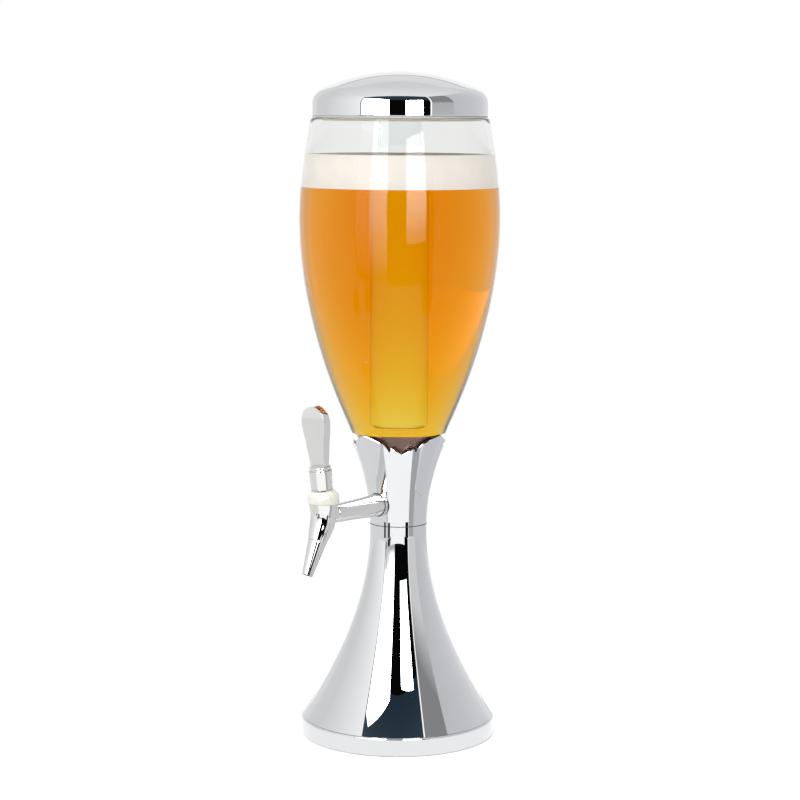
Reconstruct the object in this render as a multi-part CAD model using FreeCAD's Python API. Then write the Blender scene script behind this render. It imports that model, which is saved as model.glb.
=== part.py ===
"""Drink tower with a clear pear-shaped vessel, a petal collar, a flared foot and a lever tap.

Frame: the origin is on the table plane at the centre of the foot, +Z is up, and the tap
points along -Y.  Units are millimetres.  Every sub-part is written to parts/NAME.step.
"""
import FreeCAD, Part
import math
import os

V = FreeCAD.Vector
UP = V(0, 0, 1)
ALONG_X = V(1, 0, 0)
ALONG_Y = V(0, 1, 0)

# ---- driving dimensions ---------------------------------------------------------------
FIT = 0.1                      # radial clearance between pieces that are pushed together
CONTOUR_GAP = 0.3              # gap between the vessel and the collar that holds it

# foot
PAD_THICKNESS = 2.0
PAD_INSET = 6.5                # pad's edge inside the plate's edge
PLATE_THICKNESS = 2.5
PLATE_INSET = 2.5              # plate's edge inside the foot ring's wall
DISH_RADIUS = 15.0             # recess in the plate that hides the tie rod nut
DISH_DEPTH = 9.0
FOOT_RADIUS = 83.0
FOOT_WALL = 2.0
FOOT_LIFT = 0.8                # the ring stays this far above the table
FOOT_TOP = 15.6
FOOT_ROUND = 1.2
FLANGE_THICKNESS = 2.0
FLANGE_WIDTH = 6.0

# flared base
BASE_HEIGHT = 183.0
BASE_NECK_RADIUS = 24.5
FLARE_STEP = 1.0               # flare's lower edge inside the foot ring's outside
BASE_FLARE_POWER = 1.98
BASE_WALL = 2.5
BASE_DECK = 3.5
SPIGOT_RADIUS = 18.0
SPIGOT_WIDTH = 4.0
SPIGOT_HEIGHT = 2.5
SCREW_COUNT = 4
SCREW_INSET = 14.5             # screw circle inside the plate's edge
SCREW_RADIUS = 2.0
SCREW_HEAD_RADIUS = 3.8
SCREW_HEAD_HEIGHT = 1.8
SCREW_LENGTH = 14.0
BOSS_RADIUS = 4.5
BALLAST_GAP = 7.5              # ballast to the screw bosses
BALLAST_HEIGHT = 18.0
BALLAST_EDGE = 2.0

# tie rod that clamps foot, base, collar and neck chamber together
ROD_RADIUS = 4.0
ROD_THREAD_IN = 8.0            # engagement in the chamber's boss
NUT_ACROSS_FLATS = 13.0
NUT_HEIGHT = 6.5
WASHER_RADIUS = 11.0
WASHER_THICKNESS = 1.6
ROD_STICK_OUT = 0.5            # rod beyond the nut

# petal collar
COLLAR_NECK_RADIUS = 24.6
COLLAR_TIP_RADIUS = 44.1
COLLAR_HEIGHT = 79.2           # seam to petal tips
COLLAR_POWER = 1.91
COLLAR_WALL = 2.6
COLLAR_WEB = 3.0
PETAL_COUNT = 4
PETAL_HALF_ANGLE = 20.0
PETAL_TIP_ROUND = 22.5
PETAL_POINT_HEIGHT = 24.0      # seam to the lower point of each petal
PETAL_FLANK_HEIGHT = 32.0      # seam to where the petal reaches its full width
PETAL_EDGE_STEP = 0.8          # petals stand proud of the collar by this at their edges
PETAL_RIDGE = 1.9              # and by this along their middle crease
VALLEY_DEPTH = 15.6            # below the petal tips
VALLEY_SLOPE = 27.0            # degrees, rise of the edge from a valley

# neck chamber
CHAMBER_WALL = 2.5
CHAMBER_RADIUS = 21.0
CHAMBER_FLOOR = 2.5
SOCKET_DEPTH = 16.0            # how far the vessel's spigot goes in
SOCKET_WALL = 1.7
SOCKET_LIP_RADIUS = 31.3
SOCKET_LIP = 2.2
SEAL_THICKNESS = 2.0
ROD_BOSS_RADIUS = 6.8
ROD_BOSS_HEIGHT = 9.0

# vessel
VESSEL_SPIGOT_RADIUS = 25.0
VESSEL_SPIGOT_WALL = 3.0
VESSEL_WALL = 2.5
VESSEL_RISE = 57.0             # collar's lower edge to the vessel's, which rests on the neck chamber
VESSEL_LOW_RISE = 28.0         # vessel's lower edge to its low point
VESSEL_LOW_RADIUS = 43.0
BLEND_BELOW = 11.0             # the vessel leaves the collar's curve this far below its low point
BLEND_ABOVE = 4.0              # and follows its own from this far above it
VESSEL_FOOT_HEIGHT = 22.0      # dark cup bonded into the vessel's lower end, above its lower edge
VESSEL_FOOT_WALL = 1.2
VESSEL_FOOT_FLOOR = 2.5
BELLY_RISE = 202.0             # vessel's lower edge to its widest place
BELLY_RADIUS = 84.6
BELLY_POWER_BELOW = 1.9
BELLY_POWER_ABOVE = 1.8
RIM_RISE = 84.0                # widest place to the rim
RIM_RADIUS = 74.7

# lid and ice tube
LID_RADIUS = 74.1
LID_LIFT = 1.5                 # lid's lower edge above the vessel's rim
LID_SIDE = 10.5
LID_SHOULDER_RADIUS = 14.0
LID_CROWN_RADIUS = 156.0
LID_WALL = 2.0
LINER_DISC = 2.5
LINER_LIFT = 1.6               # liner disc above the lid's lower edge
LINER_SKIRT_DEPTH = 6.0
LINER_WALL = 2.0
LID_SEAL_WIDTH = 2.4
LID_GAP = 0.3                  # lid seal above the vessel's rim while at rest
ICE_RADIUS = 18.5
ICE_WALL = 1.5
ICE_FOOT_GAP = 27.5            # vessel's floor to the ice tube's foot
ICE_BOTTOM_ROUND = 6.0
ICE_FLANGE_RADIUS = 23.0
ICE_FLANGE = 2.0

# tap
TAP_REACH = 95.8               # centre of the tower to the tap's upright axis
SHANK_RISE = 18.6              # collar's lower edge to the shank's axis
SHANK_RADIUS = 6.5
SHANK_BORE = 4.0
SHANK_INNER_END = 7.8          # distance of its inner end from the tower's axis
SLEEVE_TAP_RADIUS = 8.15
SLEEVE_COLLAR_RADIUS = 9.5
SLEEVE_LIP = 1.8               # bead round the sleeve's collar end
GASKET_RADIUS = 10.1
GASKET_THICKNESS = 1.2
INNER_GASKET_RADIUS = 10.3
INNER_GASKET_THICKNESS = 2.0
NUT_FACE = 14.5                # distance of the nut's seat from the tower's axis
SHANK_NUT_FLATS = 18.0
SHANK_NUT_LENGTH = 4.5
SHANK_BOSS_RADIUS = 12.0
TAP_REAR = 11.8                # tap axis to the sleeve's end
TAP_SEAT = 7.8                 # tap axis to the valve seat
TAP_TOP_RADIUS = 12.5
TAP_WAIST_RADIUS = 11.1
TAP_SEAM_RADIUS = 7.8
SPOUT_TIP_RADIUS = 4.6
SPOUT_BORE = 3.5
SPOUT_LEAN = 24.5              # degrees from upright
ELBOW_BELOW_SHANK = 3.6
SEAM_RUN = 18.8                # elbow to nozzle seam, along the spout
TIP_RUN = 47.5                 # elbow to spout tip, along the spout
NOZZLE_PLUG_RADIUS = 5.2
NOZZLE_PLUG = 4.0
SHOULDER_RISE = 2.4            # pivot to the face that carries the bonnet
TAP_NECK_RADIUS = 11.0
TAP_NECK = 4.0
CAVITY_RADIUS = 5.2
CAVITY_DROP = 5.6              # shank's axis to the cavity's floor
SEAT_HOLE_RADIUS = 2.7

# lever and valve
PIVOT_RISE = 8.4               # shank's axis to the pivot, the lever arm that moves the valve
BALL_RADIUS = 5.8
BALL_FIT = 0.08
LEVER_NECK_RADIUS = 2.5
LEVER_THREAD_RADIUS = 3.0
LEVER_STUD = 11.3              # stud in the handle, above the ferrule
LEVER_LEAN = 7.5               # degrees, lever's forward lean while the valve is shut
LEVER_SWING = 17.0             # degrees, from shut to fully open
FINGER_RADIUS = 0.9
FINGER_TIP_RADIUS = 1.3
SEAL_RISE = 0.5                # bonnet's seat to the seal's seat
LEVER_SEAL_RADIUS = 8.5
LEVER_SEAL_BORE = 5.4
LEVER_SEAL_HEIGHT = 2.2
BONNET_RADIUS = 13.15
BONNET_SIDE = 6.0
BONNET_DOME_RADIUS = 16.05     # about the pivot
BONNET_DOME_EDGE = 12.4
BONNET_MOUTH_GAP = 0.5         # round the lever's neck over its whole swing
FERRULE_BOTTOM_RADIUS = 9.0
FERRULE_TOP_RADIUS = 9.8
FERRULE_RISE = 30.7            # pivot to the ferrule's top
DOME_GAP = 0.35
HANDLE_FOOT_RADIUS = 8.9
HANDLE_FOOT = 3.3
HANDLE_LENGTH = 53.6
HANDLE_BOTTOM_WIDTH = 14.2
HANDLE_TOP_WIDTH = 24.7
HANDLE_THICKNESS = 8.0
HANDLE_END_THICKNESS = 6.0
HANDLE_ROUND = 2.0
HANDLE_FLARE = 0.2             # sideways lean of the paddle's sides where they leave its foot
STEM_RADIUS = 1.6
STEM_GUIDE_FIT = 0.08
STEM_FRONT = 9.2               # stem's front end ahead of the tap axis
GUIDE_DEPTH = 4.3              # blind guide ahead of the cavity
YOKE_RADIUS = 2.3
YOKE_LENGTH = 6.0
SLOT_HALF_LENGTH = 1.75
SLOT_HALF_WIDTH = 1.6
VALVE_WASHER_RADIUS = 3.6
VALVE_WASHER_THICKNESS = 1.6
VALVE_HEAD_RADIUS = 2.4
VALVE_HEAD = 1.5
VALVE_GAP = 0.05

# ---- places worked out from the dimensions --------------------------------------------
PLATE_RADIUS = FOOT_RADIUS - FOOT_WALL - PLATE_INSET
PAD_RADIUS = PLATE_RADIUS - PAD_INSET
BASE_FLARE_RADIUS = FOOT_RADIUS - FLARE_STEP
SCREW_CIRCLE = PLATE_RADIUS - SCREW_INSET
BALLAST_RADIUS = SCREW_CIRCLE - BOSS_RADIUS - BALLAST_GAP
SHANK_HEIGHT = BASE_HEIGHT + SHANK_RISE
PIVOT_HEIGHT = SHANK_HEIGHT + PIVOT_RISE
CAVITY_FLOOR = SHANK_HEIGHT - CAVITY_DROP
TAP_SHOULDER = PIVOT_HEIGHT + SHOULDER_RISE
SEAL_SEAT = TAP_SHOULDER + SEAL_RISE
BONNET_SIDE_TOP = TAP_SHOULDER + BONNET_SIDE
FERRULE_TOP = PIVOT_HEIGHT + FERRULE_RISE
LEVER_TOP = FERRULE_TOP + LEVER_STUD
HANDLE_TOP = FERRULE_TOP + HANDLE_LENGTH
PLATE_TOP = PAD_THICKNESS + PLATE_THICKNESS
FLANGE_TOP = PLATE_TOP + FLANGE_THICKNESS
DISH_UNDERSIDE = PAD_THICKNESS + DISH_DEPTH
NUT_TOP = DISH_UNDERSIDE - WASHER_THICKNESS
ROD_BOTTOM = NUT_TOP - NUT_HEIGHT - ROD_STICK_OUT
ROD_HOLE = ROD_RADIUS + FIT
COLLAR_WEB_BOTTOM = BASE_HEIGHT + SPIGOT_HEIGHT + FIT
CHAMBER_BOTTOM = COLLAR_WEB_BOTTOM + COLLAR_WEB
PETAL_TIP = BASE_HEIGHT + COLLAR_HEIGHT
VESSEL_SHOULDER = BASE_HEIGHT + VESSEL_RISE
SOCKET_FLOOR = VESSEL_SHOULDER - SOCKET_DEPTH - SEAL_THICKNESS
VESSEL_LOW_HEIGHT = VESSEL_SHOULDER + VESSEL_LOW_RISE
VESSEL_FOOT_TOP = VESSEL_SHOULDER + VESSEL_FOOT_HEIGHT
BELLY_HEIGHT = VESSEL_SHOULDER + BELLY_RISE
RIM_HEIGHT = BELLY_HEIGHT + RIM_RISE
ICE_BOTTOM = VESSEL_SHOULDER + VESSEL_FOOT_FLOOR + ICE_FOOT_GAP
LID_BOTTOM = RIM_HEIGHT + LID_LIFT
LINER_BOTTOM = LID_BOTTOM + LINER_LIFT
LINER_TOP = LINER_BOTTOM + LINER_DISC
PIVOT = V(0, -TAP_REACH, PIVOT_HEIGHT)
ELBOW = V(0, -TAP_REACH, SHANK_HEIGHT - ELBOW_BELOW_SHANK)
SPOUT_DIRECTION = V(0, -math.sin(math.radians(SPOUT_LEAN)), -math.cos(math.radians(SPOUT_LEAN)))
FERRULE_BOTTOM = PIVOT_HEIGHT + math.sqrt((BONNET_DOME_RADIUS + DOME_GAP) ** 2 - FERRULE_BOTTOM_RADIUS ** 2)


# ---- outlines and turned shapes ---------------------------------------------------------
def curve(points):
    """A smooth edge through (radius, height) points."""
    spline = Part.BSplineCurve()
    spline.interpolate([V(r, 0, z) for r, z in points])
    return spline.toShape()


def arc(start, middle, end):
    """A circular edge through three (radius, height) points."""
    points = [V(r, 0, z) for r, z in (start, middle, end)]
    return Part.Arc(*points).toShape()


def turned(path):
    """Solid of revolution about Z; a path holds corner points and edges, in order round."""
    edges = []
    first = None
    last = None
    for item in path:
        is_corner = isinstance(item, tuple)
        start = V(item[0], 0, item[1]) if is_corner else item.valueAt(item.FirstParameter)
        end = start if is_corner else item.valueAt(item.LastParameter)
        if last is None:
            first = start
        elif last.distanceToPoint(start) > 1e-6:
            edges.append(Part.LineSegment(last, start).toShape())
        if not is_corner:
            edges.append(item)
        last = end
    if last.distanceToPoint(first) > 1e-6:
        edges.append(Part.LineSegment(last, first).toShape())
    face = Part.Face(Part.Wire(edges))
    return face.revolve(V(0, 0, 0), UP, 360)


def ring(inner, outer, bottom, top):
    """Plain ring or, with an inner radius of nought, a disc."""
    body = Part.makeCylinder(outer, top - bottom, V(0, 0, bottom))
    if inner > 0:
        body = body.cut(Part.makeCylinder(inner, top - bottom, V(0, 0, bottom)))
    return body


def hexagon(across_flats, bottom, height):
    """Hexagonal prism about Z with a flat towards +X."""
    corner = across_flats / math.sqrt(3)
    angles = [math.radians(30 + 60 * k) for k in range(7)]
    points = [V(corner * math.cos(a), corner * math.sin(a), bottom) for a in angles]
    return Part.Face(Part.makePolygon(points)).extrude(UP * height)


def across(radius, near, far, height=SHANK_HEIGHT):
    """Cylinder along -Y from the distance near to the distance far from the tower's axis."""
    return Part.makeCylinder(radius, far - near, V(0, -near, height), ALONG_Y * -1)


def spaced(low, high, count):
    """Evenly spaced values from low to high."""
    return [low + (high - low) * k / (count - 1) for k in range(count)]


def offset_points(radius_at, heights, depth):
    """Points at a depth under a turned surface, measured square to it."""
    points = []
    step = 0.01
    for z in heights:
        slope = (radius_at(z + step) - radius_at(z - step)) / (2 * step)
        length = math.hypot(1, slope)
        points.append((radius_at(z) - depth / length, z + depth * slope / length))
    return points


# ---- surface formulas -------------------------------------------------------------------
def base_radius(z):
    """Outer radius of the flared base."""
    share = max(BASE_HEIGHT - z, 0) / (BASE_HEIGHT - FOOT_TOP)
    return BASE_NECK_RADIUS + (BASE_FLARE_RADIUS - BASE_NECK_RADIUS) * share ** BASE_FLARE_POWER


def collar_radius(z):
    """Outer radius of the collar between its petals."""
    share = max(z - BASE_HEIGHT, 0) / COLLAR_HEIGHT
    return COLLAR_NECK_RADIUS + (COLLAR_TIP_RADIUS - COLLAR_NECK_RADIUS) * share ** COLLAR_POWER


def vessel_radius(z):
    """Outer radius of the vessel above the collar."""
    if z < BELLY_HEIGHT:
        share = (BELLY_HEIGHT - z) / (BELLY_HEIGHT - VESSEL_LOW_HEIGHT)
        return BELLY_RADIUS - (BELLY_RADIUS - VESSEL_LOW_RADIUS) * share ** BELLY_POWER_BELOW
    share = (z - BELLY_HEIGHT) / (RIM_HEIGHT - BELLY_HEIGHT)
    return BELLY_RADIUS - (BELLY_RADIUS - RIM_RADIUS) * share ** BELLY_POWER_ABOVE


def around(shape, count, angle):
    """Copies of a shape, turned about Z."""
    copies = []
    for k in range(count):
        copy = shape.copy()
        copy.rotate(V(0, 0, 0), UP, angle + 360.0 * k / count)
        copies.append(copy)
    return copies


# ---- foot and base ----------------------------------------------------------------------
def anti_slip_pad():
    edge = PAD_THICKNESS / 4
    return turned([(0, 0), (PAD_RADIUS - edge, 0), (PAD_RADIUS, edge), (PAD_RADIUS, PAD_THICKNESS),
                   (0, PAD_THICKNESS)])


def bottom_plate():
    dish_outer = DISH_RADIUS + PLATE_THICKNESS
    dish_top = DISH_UNDERSIDE + PLATE_THICKNESS
    plate = turned([(ROD_HOLE, DISH_UNDERSIDE), (DISH_RADIUS, DISH_UNDERSIDE), (DISH_RADIUS, PAD_THICKNESS),
                    (PLATE_RADIUS, PAD_THICKNESS), (PLATE_RADIUS, PLATE_TOP), (dish_outer, PLATE_TOP),
                    (dish_outer, dish_top), (ROD_HOLE, dish_top)])
    for screw in plate_screw_solids():
        plate = plate.cut(screw)
    return plate


def plate_screw_solids():
    head = Part.makeCone(SCREW_HEAD_RADIUS, SCREW_RADIUS, SCREW_HEAD_HEIGHT, V(SCREW_CIRCLE, 0, PAD_THICKNESS))
    shaft = Part.makeCylinder(SCREW_RADIUS, SCREW_LENGTH, V(SCREW_CIRCLE, 0, PAD_THICKNESS))
    return around(head.fuse(shaft).removeSplitter(), SCREW_COUNT, 45.0)


def plate_screws():
    return Part.makeCompound(plate_screw_solids())


def foot_ring():
    inner = FOOT_RADIUS - FOOT_WALL
    bend = FOOT_ROUND * math.sqrt(0.5)
    rounded = arc((FOOT_RADIUS, FOOT_TOP - FOOT_ROUND),
                  (FOOT_RADIUS - FOOT_ROUND + bend, FOOT_TOP - FOOT_ROUND + bend),
                  (FOOT_RADIUS - FOOT_ROUND, FOOT_TOP))
    return turned([(inner, FOOT_LIFT), (FOOT_RADIUS, FOOT_LIFT), rounded, (inner, FOOT_TOP),
                   (inner, FLANGE_TOP), (inner - FLANGE_WIDTH, FLANGE_TOP),
                   (inner - FLANGE_WIDTH, PLATE_TOP), (inner, PLATE_TOP)])


def flare_core(depth):
    """Solid inside the flare, at a depth under its outer surface."""
    points = offset_points(base_radius, spaced(FOOT_TOP, BASE_HEIGHT, 9), depth)
    return turned([(0, PLATE_TOP), (points[0][0], PLATE_TOP), curve(points), (0, points[-1][1])])


def base_shell():
    skirt = FOOT_RADIUS - FOOT_WALL - FIT
    outside = [(base_radius(z), z) for z in spaced(FOOT_TOP, BASE_HEIGHT, 9)]
    lowest_inside = FOOT_TOP + 1.6 * BASE_WALL
    inside = offset_points(base_radius, spaced(BASE_HEIGHT - BASE_DECK, lowest_inside, 9), BASE_WALL)
    shell = turned([(skirt - BASE_WALL, FLANGE_TOP), (skirt, FLANGE_TOP), (skirt, FOOT_TOP), curve(outside),
                    (ROD_HOLE, BASE_HEIGHT), (ROD_HOLE, BASE_HEIGHT - BASE_DECK), curve(inside),
                    (skirt - BASE_WALL, FOOT_TOP)])
    spigot = ring(SPIGOT_RADIUS - SPIGOT_WIDTH, SPIGOT_RADIUS, BASE_HEIGHT, BASE_HEIGHT + SPIGOT_HEIGHT)
    shell = shell.fuse(spigot)
    boss = Part.makeCylinder(BOSS_RADIUS, BASE_HEIGHT / 2, V(SCREW_CIRCLE, 0, PLATE_TOP))
    boss = boss.common(flare_core(BASE_WALL / 2))
    for copy in around(boss, SCREW_COUNT, 45.0):
        shell = shell.fuse(copy)
    for screw in plate_screw_solids():
        shell = shell.cut(screw)
    return shell.removeSplitter()


def ballast_weight():
    dish = DISH_RADIUS + PLATE_THICKNESS + FIT
    dish_top = DISH_UNDERSIDE + PLATE_THICKNESS + FIT
    top = PLATE_TOP + BALLAST_HEIGHT
    return turned([(dish, PLATE_TOP), (BALLAST_RADIUS, PLATE_TOP), (BALLAST_RADIUS, top - BALLAST_EDGE),
                   (BALLAST_RADIUS - BALLAST_EDGE, top), (ROD_HOLE, top), (ROD_HOLE, dish_top),
                   (dish, dish_top)])


def tie_rod():
    top = CHAMBER_BOTTOM + ROD_THREAD_IN
    return Part.makeCylinder(ROD_RADIUS, top - ROD_BOTTOM, V(0, 0, ROD_BOTTOM))


def tie_rod_washer():
    return ring(ROD_HOLE, WASHER_RADIUS, NUT_TOP, DISH_UNDERSIDE)


def tie_rod_nut():
    nut = hexagon(NUT_ACROSS_FLATS, NUT_TOP - NUT_HEIGHT, NUT_HEIGHT)
    return nut.cut(Part.makeCylinder(ROD_RADIUS, NUT_HEIGHT, V(0, 0, NUT_TOP - NUT_HEIGHT)))


# ---- petal collar -----------------------------------------------------------------------
def collar_surface(outset):
    """Solid under the collar's outer surface moved outwards by outset."""
    points = offset_points(collar_radius, spaced(BASE_HEIGHT, PETAL_TIP, 8), -outset)
    return turned([(0, BASE_HEIGHT), (points[0][0], BASE_HEIGHT), curve(points), (0, points[-1][1])])


def valley_tool():
    """Notch between two petals, open upwards, pointing along -Y."""
    reach = COLLAR_TIP_RADIUS * math.sin(math.radians(180.0 / PETAL_COUNT - PETAL_HALF_ANGLE))
    rise = reach * math.tan(math.radians(VALLEY_SLOPE))
    low = PETAL_TIP - VALLEY_DEPTH
    high = PETAL_TIP + VALLEY_DEPTH
    near = -COLLAR_NECK_RADIUS / 2
    corners = [(0, low), (reach, low + rise), (reach, high), (-reach, high), (-reach, low + rise), (0, low)]
    outline = Part.makePolygon([V(x, near, z) for x, z in corners])
    return Part.Face(outline).extrude(ALONG_Y * -2 * COLLAR_TIP_RADIUS)


def petal_prism(inset):
    """Leaf outline of one petal, pointing along -Y: point, flanks and round tip."""
    wide = (COLLAR_TIP_RADIUS + PETAL_RIDGE) * math.sin(math.radians(PETAL_HALF_ANGLE)) + inset
    point = BASE_HEIGHT + PETAL_POINT_HEIGHT
    flank = BASE_HEIGHT + PETAL_FLANK_HEIGHT
    flank_half = collar_radius(flank) * math.sin(math.radians(PETAL_HALF_ANGLE)) + inset
    near = -COLLAR_NECK_RADIUS / 2
    centre = PETAL_TIP - PETAL_TIP_ROUND
    drop = PETAL_TIP_ROUND - math.sqrt(PETAL_TIP_ROUND ** 2 - wide ** 2)
    right = V(wide, near, PETAL_TIP - drop)
    left = V(-wide, near, PETAL_TIP - drop)
    top = V(0, near, centre + PETAL_TIP_ROUND)
    corners = [left, V(-flank_half, near, flank), V(0, near, point), V(flank_half, near, flank), right]
    edges = [Part.LineSegment(a, b).toShape() for a, b in zip(corners, corners[1:])]
    edges.append(Part.Arc(right, top, left).toShape())
    return Part.Face(Part.Wire(edges)).extrude(ALONG_Y * -2 * COLLAR_TIP_RADIUS)


def petal_section(z):
    """Roof-shaped section of one petal at a height; its inner side lies inside the collar's wall."""
    angle = math.radians(PETAL_HALF_ANGLE)
    radius = collar_radius(z)
    edge = radius + PETAL_EDGE_STEP
    share = (z - BASE_HEIGHT) / COLLAR_HEIGHT
    crest = edge + (PETAL_RIDGE - PETAL_EDGE_STEP) * share
    inner = radius - COLLAR_WALL / 2
    spots = [(edge, -angle), (crest, 0), (edge, angle), (inner, angle), (inner, 0), (inner, -angle),
             (edge, -angle)]
    return Part.makePolygon([V(r * math.sin(a), -r * math.cos(a), z) for r, a in spots])


def petal():
    """One raised petal pointing along -Y."""
    low = BASE_HEIGHT + PETAL_POINT_HEIGHT - 2 * COLLAR_WALL
    sections = [petal_section(z) for z in spaced(low, PETAL_TIP, 6)]
    blank = Part.makeLoft(sections, True, False)
    return blank.common(petal_prism(0))


def petal_tip_tool():
    """Everything above the round tip of one petal, within the petal's width."""
    half = (COLLAR_TIP_RADIUS + PETAL_RIDGE) * math.sin(math.radians(PETAL_HALF_ANGLE))
    low = PETAL_TIP - PETAL_TIP_ROUND
    near = -COLLAR_NECK_RADIUS / 2
    box = Part.makeBox(2 * half, 2 * COLLAR_TIP_RADIUS, 2 * PETAL_TIP_ROUND,
                       V(-half, near - 2 * COLLAR_TIP_RADIUS, low))
    round_tip = Part.makeCylinder(PETAL_TIP_ROUND, 3 * COLLAR_TIP_RADIUS, V(0, 0, low), ALONG_Y * -1)
    return box.cut(round_tip)


def petal_collar():
    outside = [(collar_radius(z), z) for z in spaced(BASE_HEIGHT, PETAL_TIP, 8)]
    inside = offset_points(collar_radius, spaced(PETAL_TIP, CHAMBER_BOTTOM, 8), COLLAR_WALL)
    inner_foot = inside[-1][0]
    recess = SPIGOT_RADIUS + FIT
    body = turned([(recess, BASE_HEIGHT), curve(outside), curve(inside),
                   (inner_foot, CHAMBER_BOTTOM), (ROD_HOLE, CHAMBER_BOTTOM),
                   (ROD_HOLE, COLLAR_WEB_BOTTOM), (recess, COLLAR_WEB_BOTTOM)])
    for tool in around(valley_tool(), PETAL_COUNT, 180.0 / PETAL_COUNT):
        body = body.cut(tool)
    for tool in around(petal_tip_tool(), PETAL_COUNT, 0.0):
        body = body.cut(tool)
    for copy in around(petal(), PETAL_COUNT, 0.0):
        body = body.fuse(copy)
    body = body.cut(across(SHANK_RADIUS + FIT, 0, 2 * COLLAR_NECK_RADIUS))
    return body.removeSplitter()


# ---- neck chamber, vessel and seals -------------------------------------------------------
def neck_chamber():
    bore = CHAMBER_RADIUS - CHAMBER_WALL
    socket = VESSEL_SPIGOT_RADIUS + FIT
    socket_outer = socket + SOCKET_WALL
    lip_bottom = VESSEL_SHOULDER - SOCKET_LIP
    floor = CHAMBER_BOTTOM + CHAMBER_FLOOR
    boss_top = CHAMBER_BOTTOM + ROD_BOSS_HEIGHT
    rod_top = CHAMBER_BOTTOM + ROD_THREAD_IN
    cup = turned([(ROD_RADIUS, CHAMBER_BOTTOM), (CHAMBER_RADIUS, CHAMBER_BOTTOM),
                  (CHAMBER_RADIUS, SOCKET_FLOOR - CHAMBER_WALL),
                  (socket_outer, SOCKET_FLOOR), (socket_outer, lip_bottom - SOCKET_LIP),
                  (SOCKET_LIP_RADIUS, lip_bottom + SOCKET_LIP / 2), (SOCKET_LIP_RADIUS, VESSEL_SHOULDER),
                  (socket, VESSEL_SHOULDER), (socket, SOCKET_FLOOR), (bore, SOCKET_FLOOR), (bore, floor),
                  (ROD_BOSS_RADIUS, floor), (ROD_BOSS_RADIUS, boss_top), (0, boss_top), (0, rod_top),
                  (ROD_RADIUS, rod_top)])
    inner_boss = across(SHANK_BOSS_RADIUS, NUT_FACE, CHAMBER_RADIUS)
    shell_core = ring(0, CHAMBER_RADIUS - CHAMBER_WALL / 2, CHAMBER_BOTTOM, SOCKET_FLOOR)
    cup = cup.fuse(inner_boss.common(shell_core))
    reach = math.sqrt((collar_radius(SHANK_HEIGHT) - COLLAR_WALL) ** 2 - SLEEVE_COLLAR_RADIUS ** 2) - FIT
    outer_boss = across(SLEEVE_COLLAR_RADIUS, CHAMBER_RADIUS - CHAMBER_WALL, reach)
    room = offset_points(collar_radius, spaced(CHAMBER_BOTTOM, SOCKET_FLOOR, 5), COLLAR_WALL + FIT)
    room_core = turned([(0, room[0][1]), curve(room), (0, room[-1][1])])
    cup = cup.fuse(outer_boss.common(room_core))
    return cup.cut(across(SHANK_RADIUS + FIT, NUT_FACE - 1, 2 * CHAMBER_RADIUS)).removeSplitter()


def vessel_seal_ring():
    return ring(VESSEL_SPIGOT_RADIUS - VESSEL_SPIGOT_WALL, VESSEL_SPIGOT_RADIUS, SOCKET_FLOOR,
                SOCKET_FLOOR + SEAL_THICKNESS)


def vessel_outer_points():
    """Outer surface of the vessel from a little under its lower edge to just under the rim."""
    seat = COLLAR_WALL + CONTOUR_GAP
    low_end = VESSEL_LOW_HEIGHT - BLEND_BELOW
    in_collar = []
    for z in spaced(VESSEL_SHOULDER - VESSEL_WALL, low_end, 3):
        slope = (collar_radius(z + 0.5) - collar_radius(z - 0.5))
        in_collar.append((collar_radius(z) - seat * math.hypot(1, slope), z))
    below = [(vessel_radius(z), z) for z in spaced(VESSEL_LOW_HEIGHT + BLEND_ABOVE, BELLY_HEIGHT, 6)]
    above = [(vessel_radius(z), z) for z in spaced(BELLY_HEIGHT, RIM_HEIGHT - VESSEL_WALL / 2, 5)]
    return in_collar + below + above[1:]


def inset(points, depth):
    """Points moved square to the line that they follow, towards the axis."""
    moved = []
    for k, (r, z) in enumerate(points):
        before = points[max(k - 1, 0)]
        after = points[min(k + 1, len(points) - 1)]
        dr = after[0] - before[0]
        dz = after[1] - before[1]
        length = math.hypot(dr, dz)
        moved.append((r - depth * dz / length, z + depth * dr / length))
    return moved


def vessel_inside(depth):
    """Solid that fills the vessel up to its rim, smaller all round by a depth."""
    points = inset(vessel_outer_points(), VESSEL_WALL + depth)
    return turned([(0, points[0][1]), curve(points), (0, points[-1][1])])


def vessel():
    outside = vessel_outer_points()
    inside = inset(outside, VESSEL_WALL)
    top_r, top_z = outside[-1]
    rim_round = arc((top_r, top_z), (top_r - VESSEL_WALL / 2, RIM_HEIGHT), (top_r - VESSEL_WALL, top_z))
    inside[-1] = (top_r - VESSEL_WALL, top_z)
    wall = turned([curve(outside), rim_round, curve(inside[::-1])])
    return wall.common(ring(0, 2 * BELLY_RADIUS, VESSEL_SHOULDER, RIM_HEIGHT + VESSEL_WALL))


def vessel_foot():
    """Cup in the vessel's lower end, with the spigot that goes into the neck chamber."""
    bore = VESSEL_SPIGOT_RADIUS - VESSEL_SPIGOT_WALL
    floor = VESSEL_SHOULDER + VESSEL_FOOT_FLOOR
    cup = vessel_inside(FIT).common(ring(0, BELLY_RADIUS, VESSEL_SHOULDER, VESSEL_FOOT_TOP))
    hollow = vessel_inside(FIT + VESSEL_FOOT_WALL).common(ring(0, BELLY_RADIUS, floor, RIM_HEIGHT))
    spigot = ring(0, VESSEL_SPIGOT_RADIUS, SOCKET_FLOOR + SEAL_THICKNESS, floor)
    foot = cup.fuse(spigot).cut(hollow)
    return foot.cut(ring(0, bore, SOCKET_FLOOR, floor)).removeSplitter()


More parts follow.
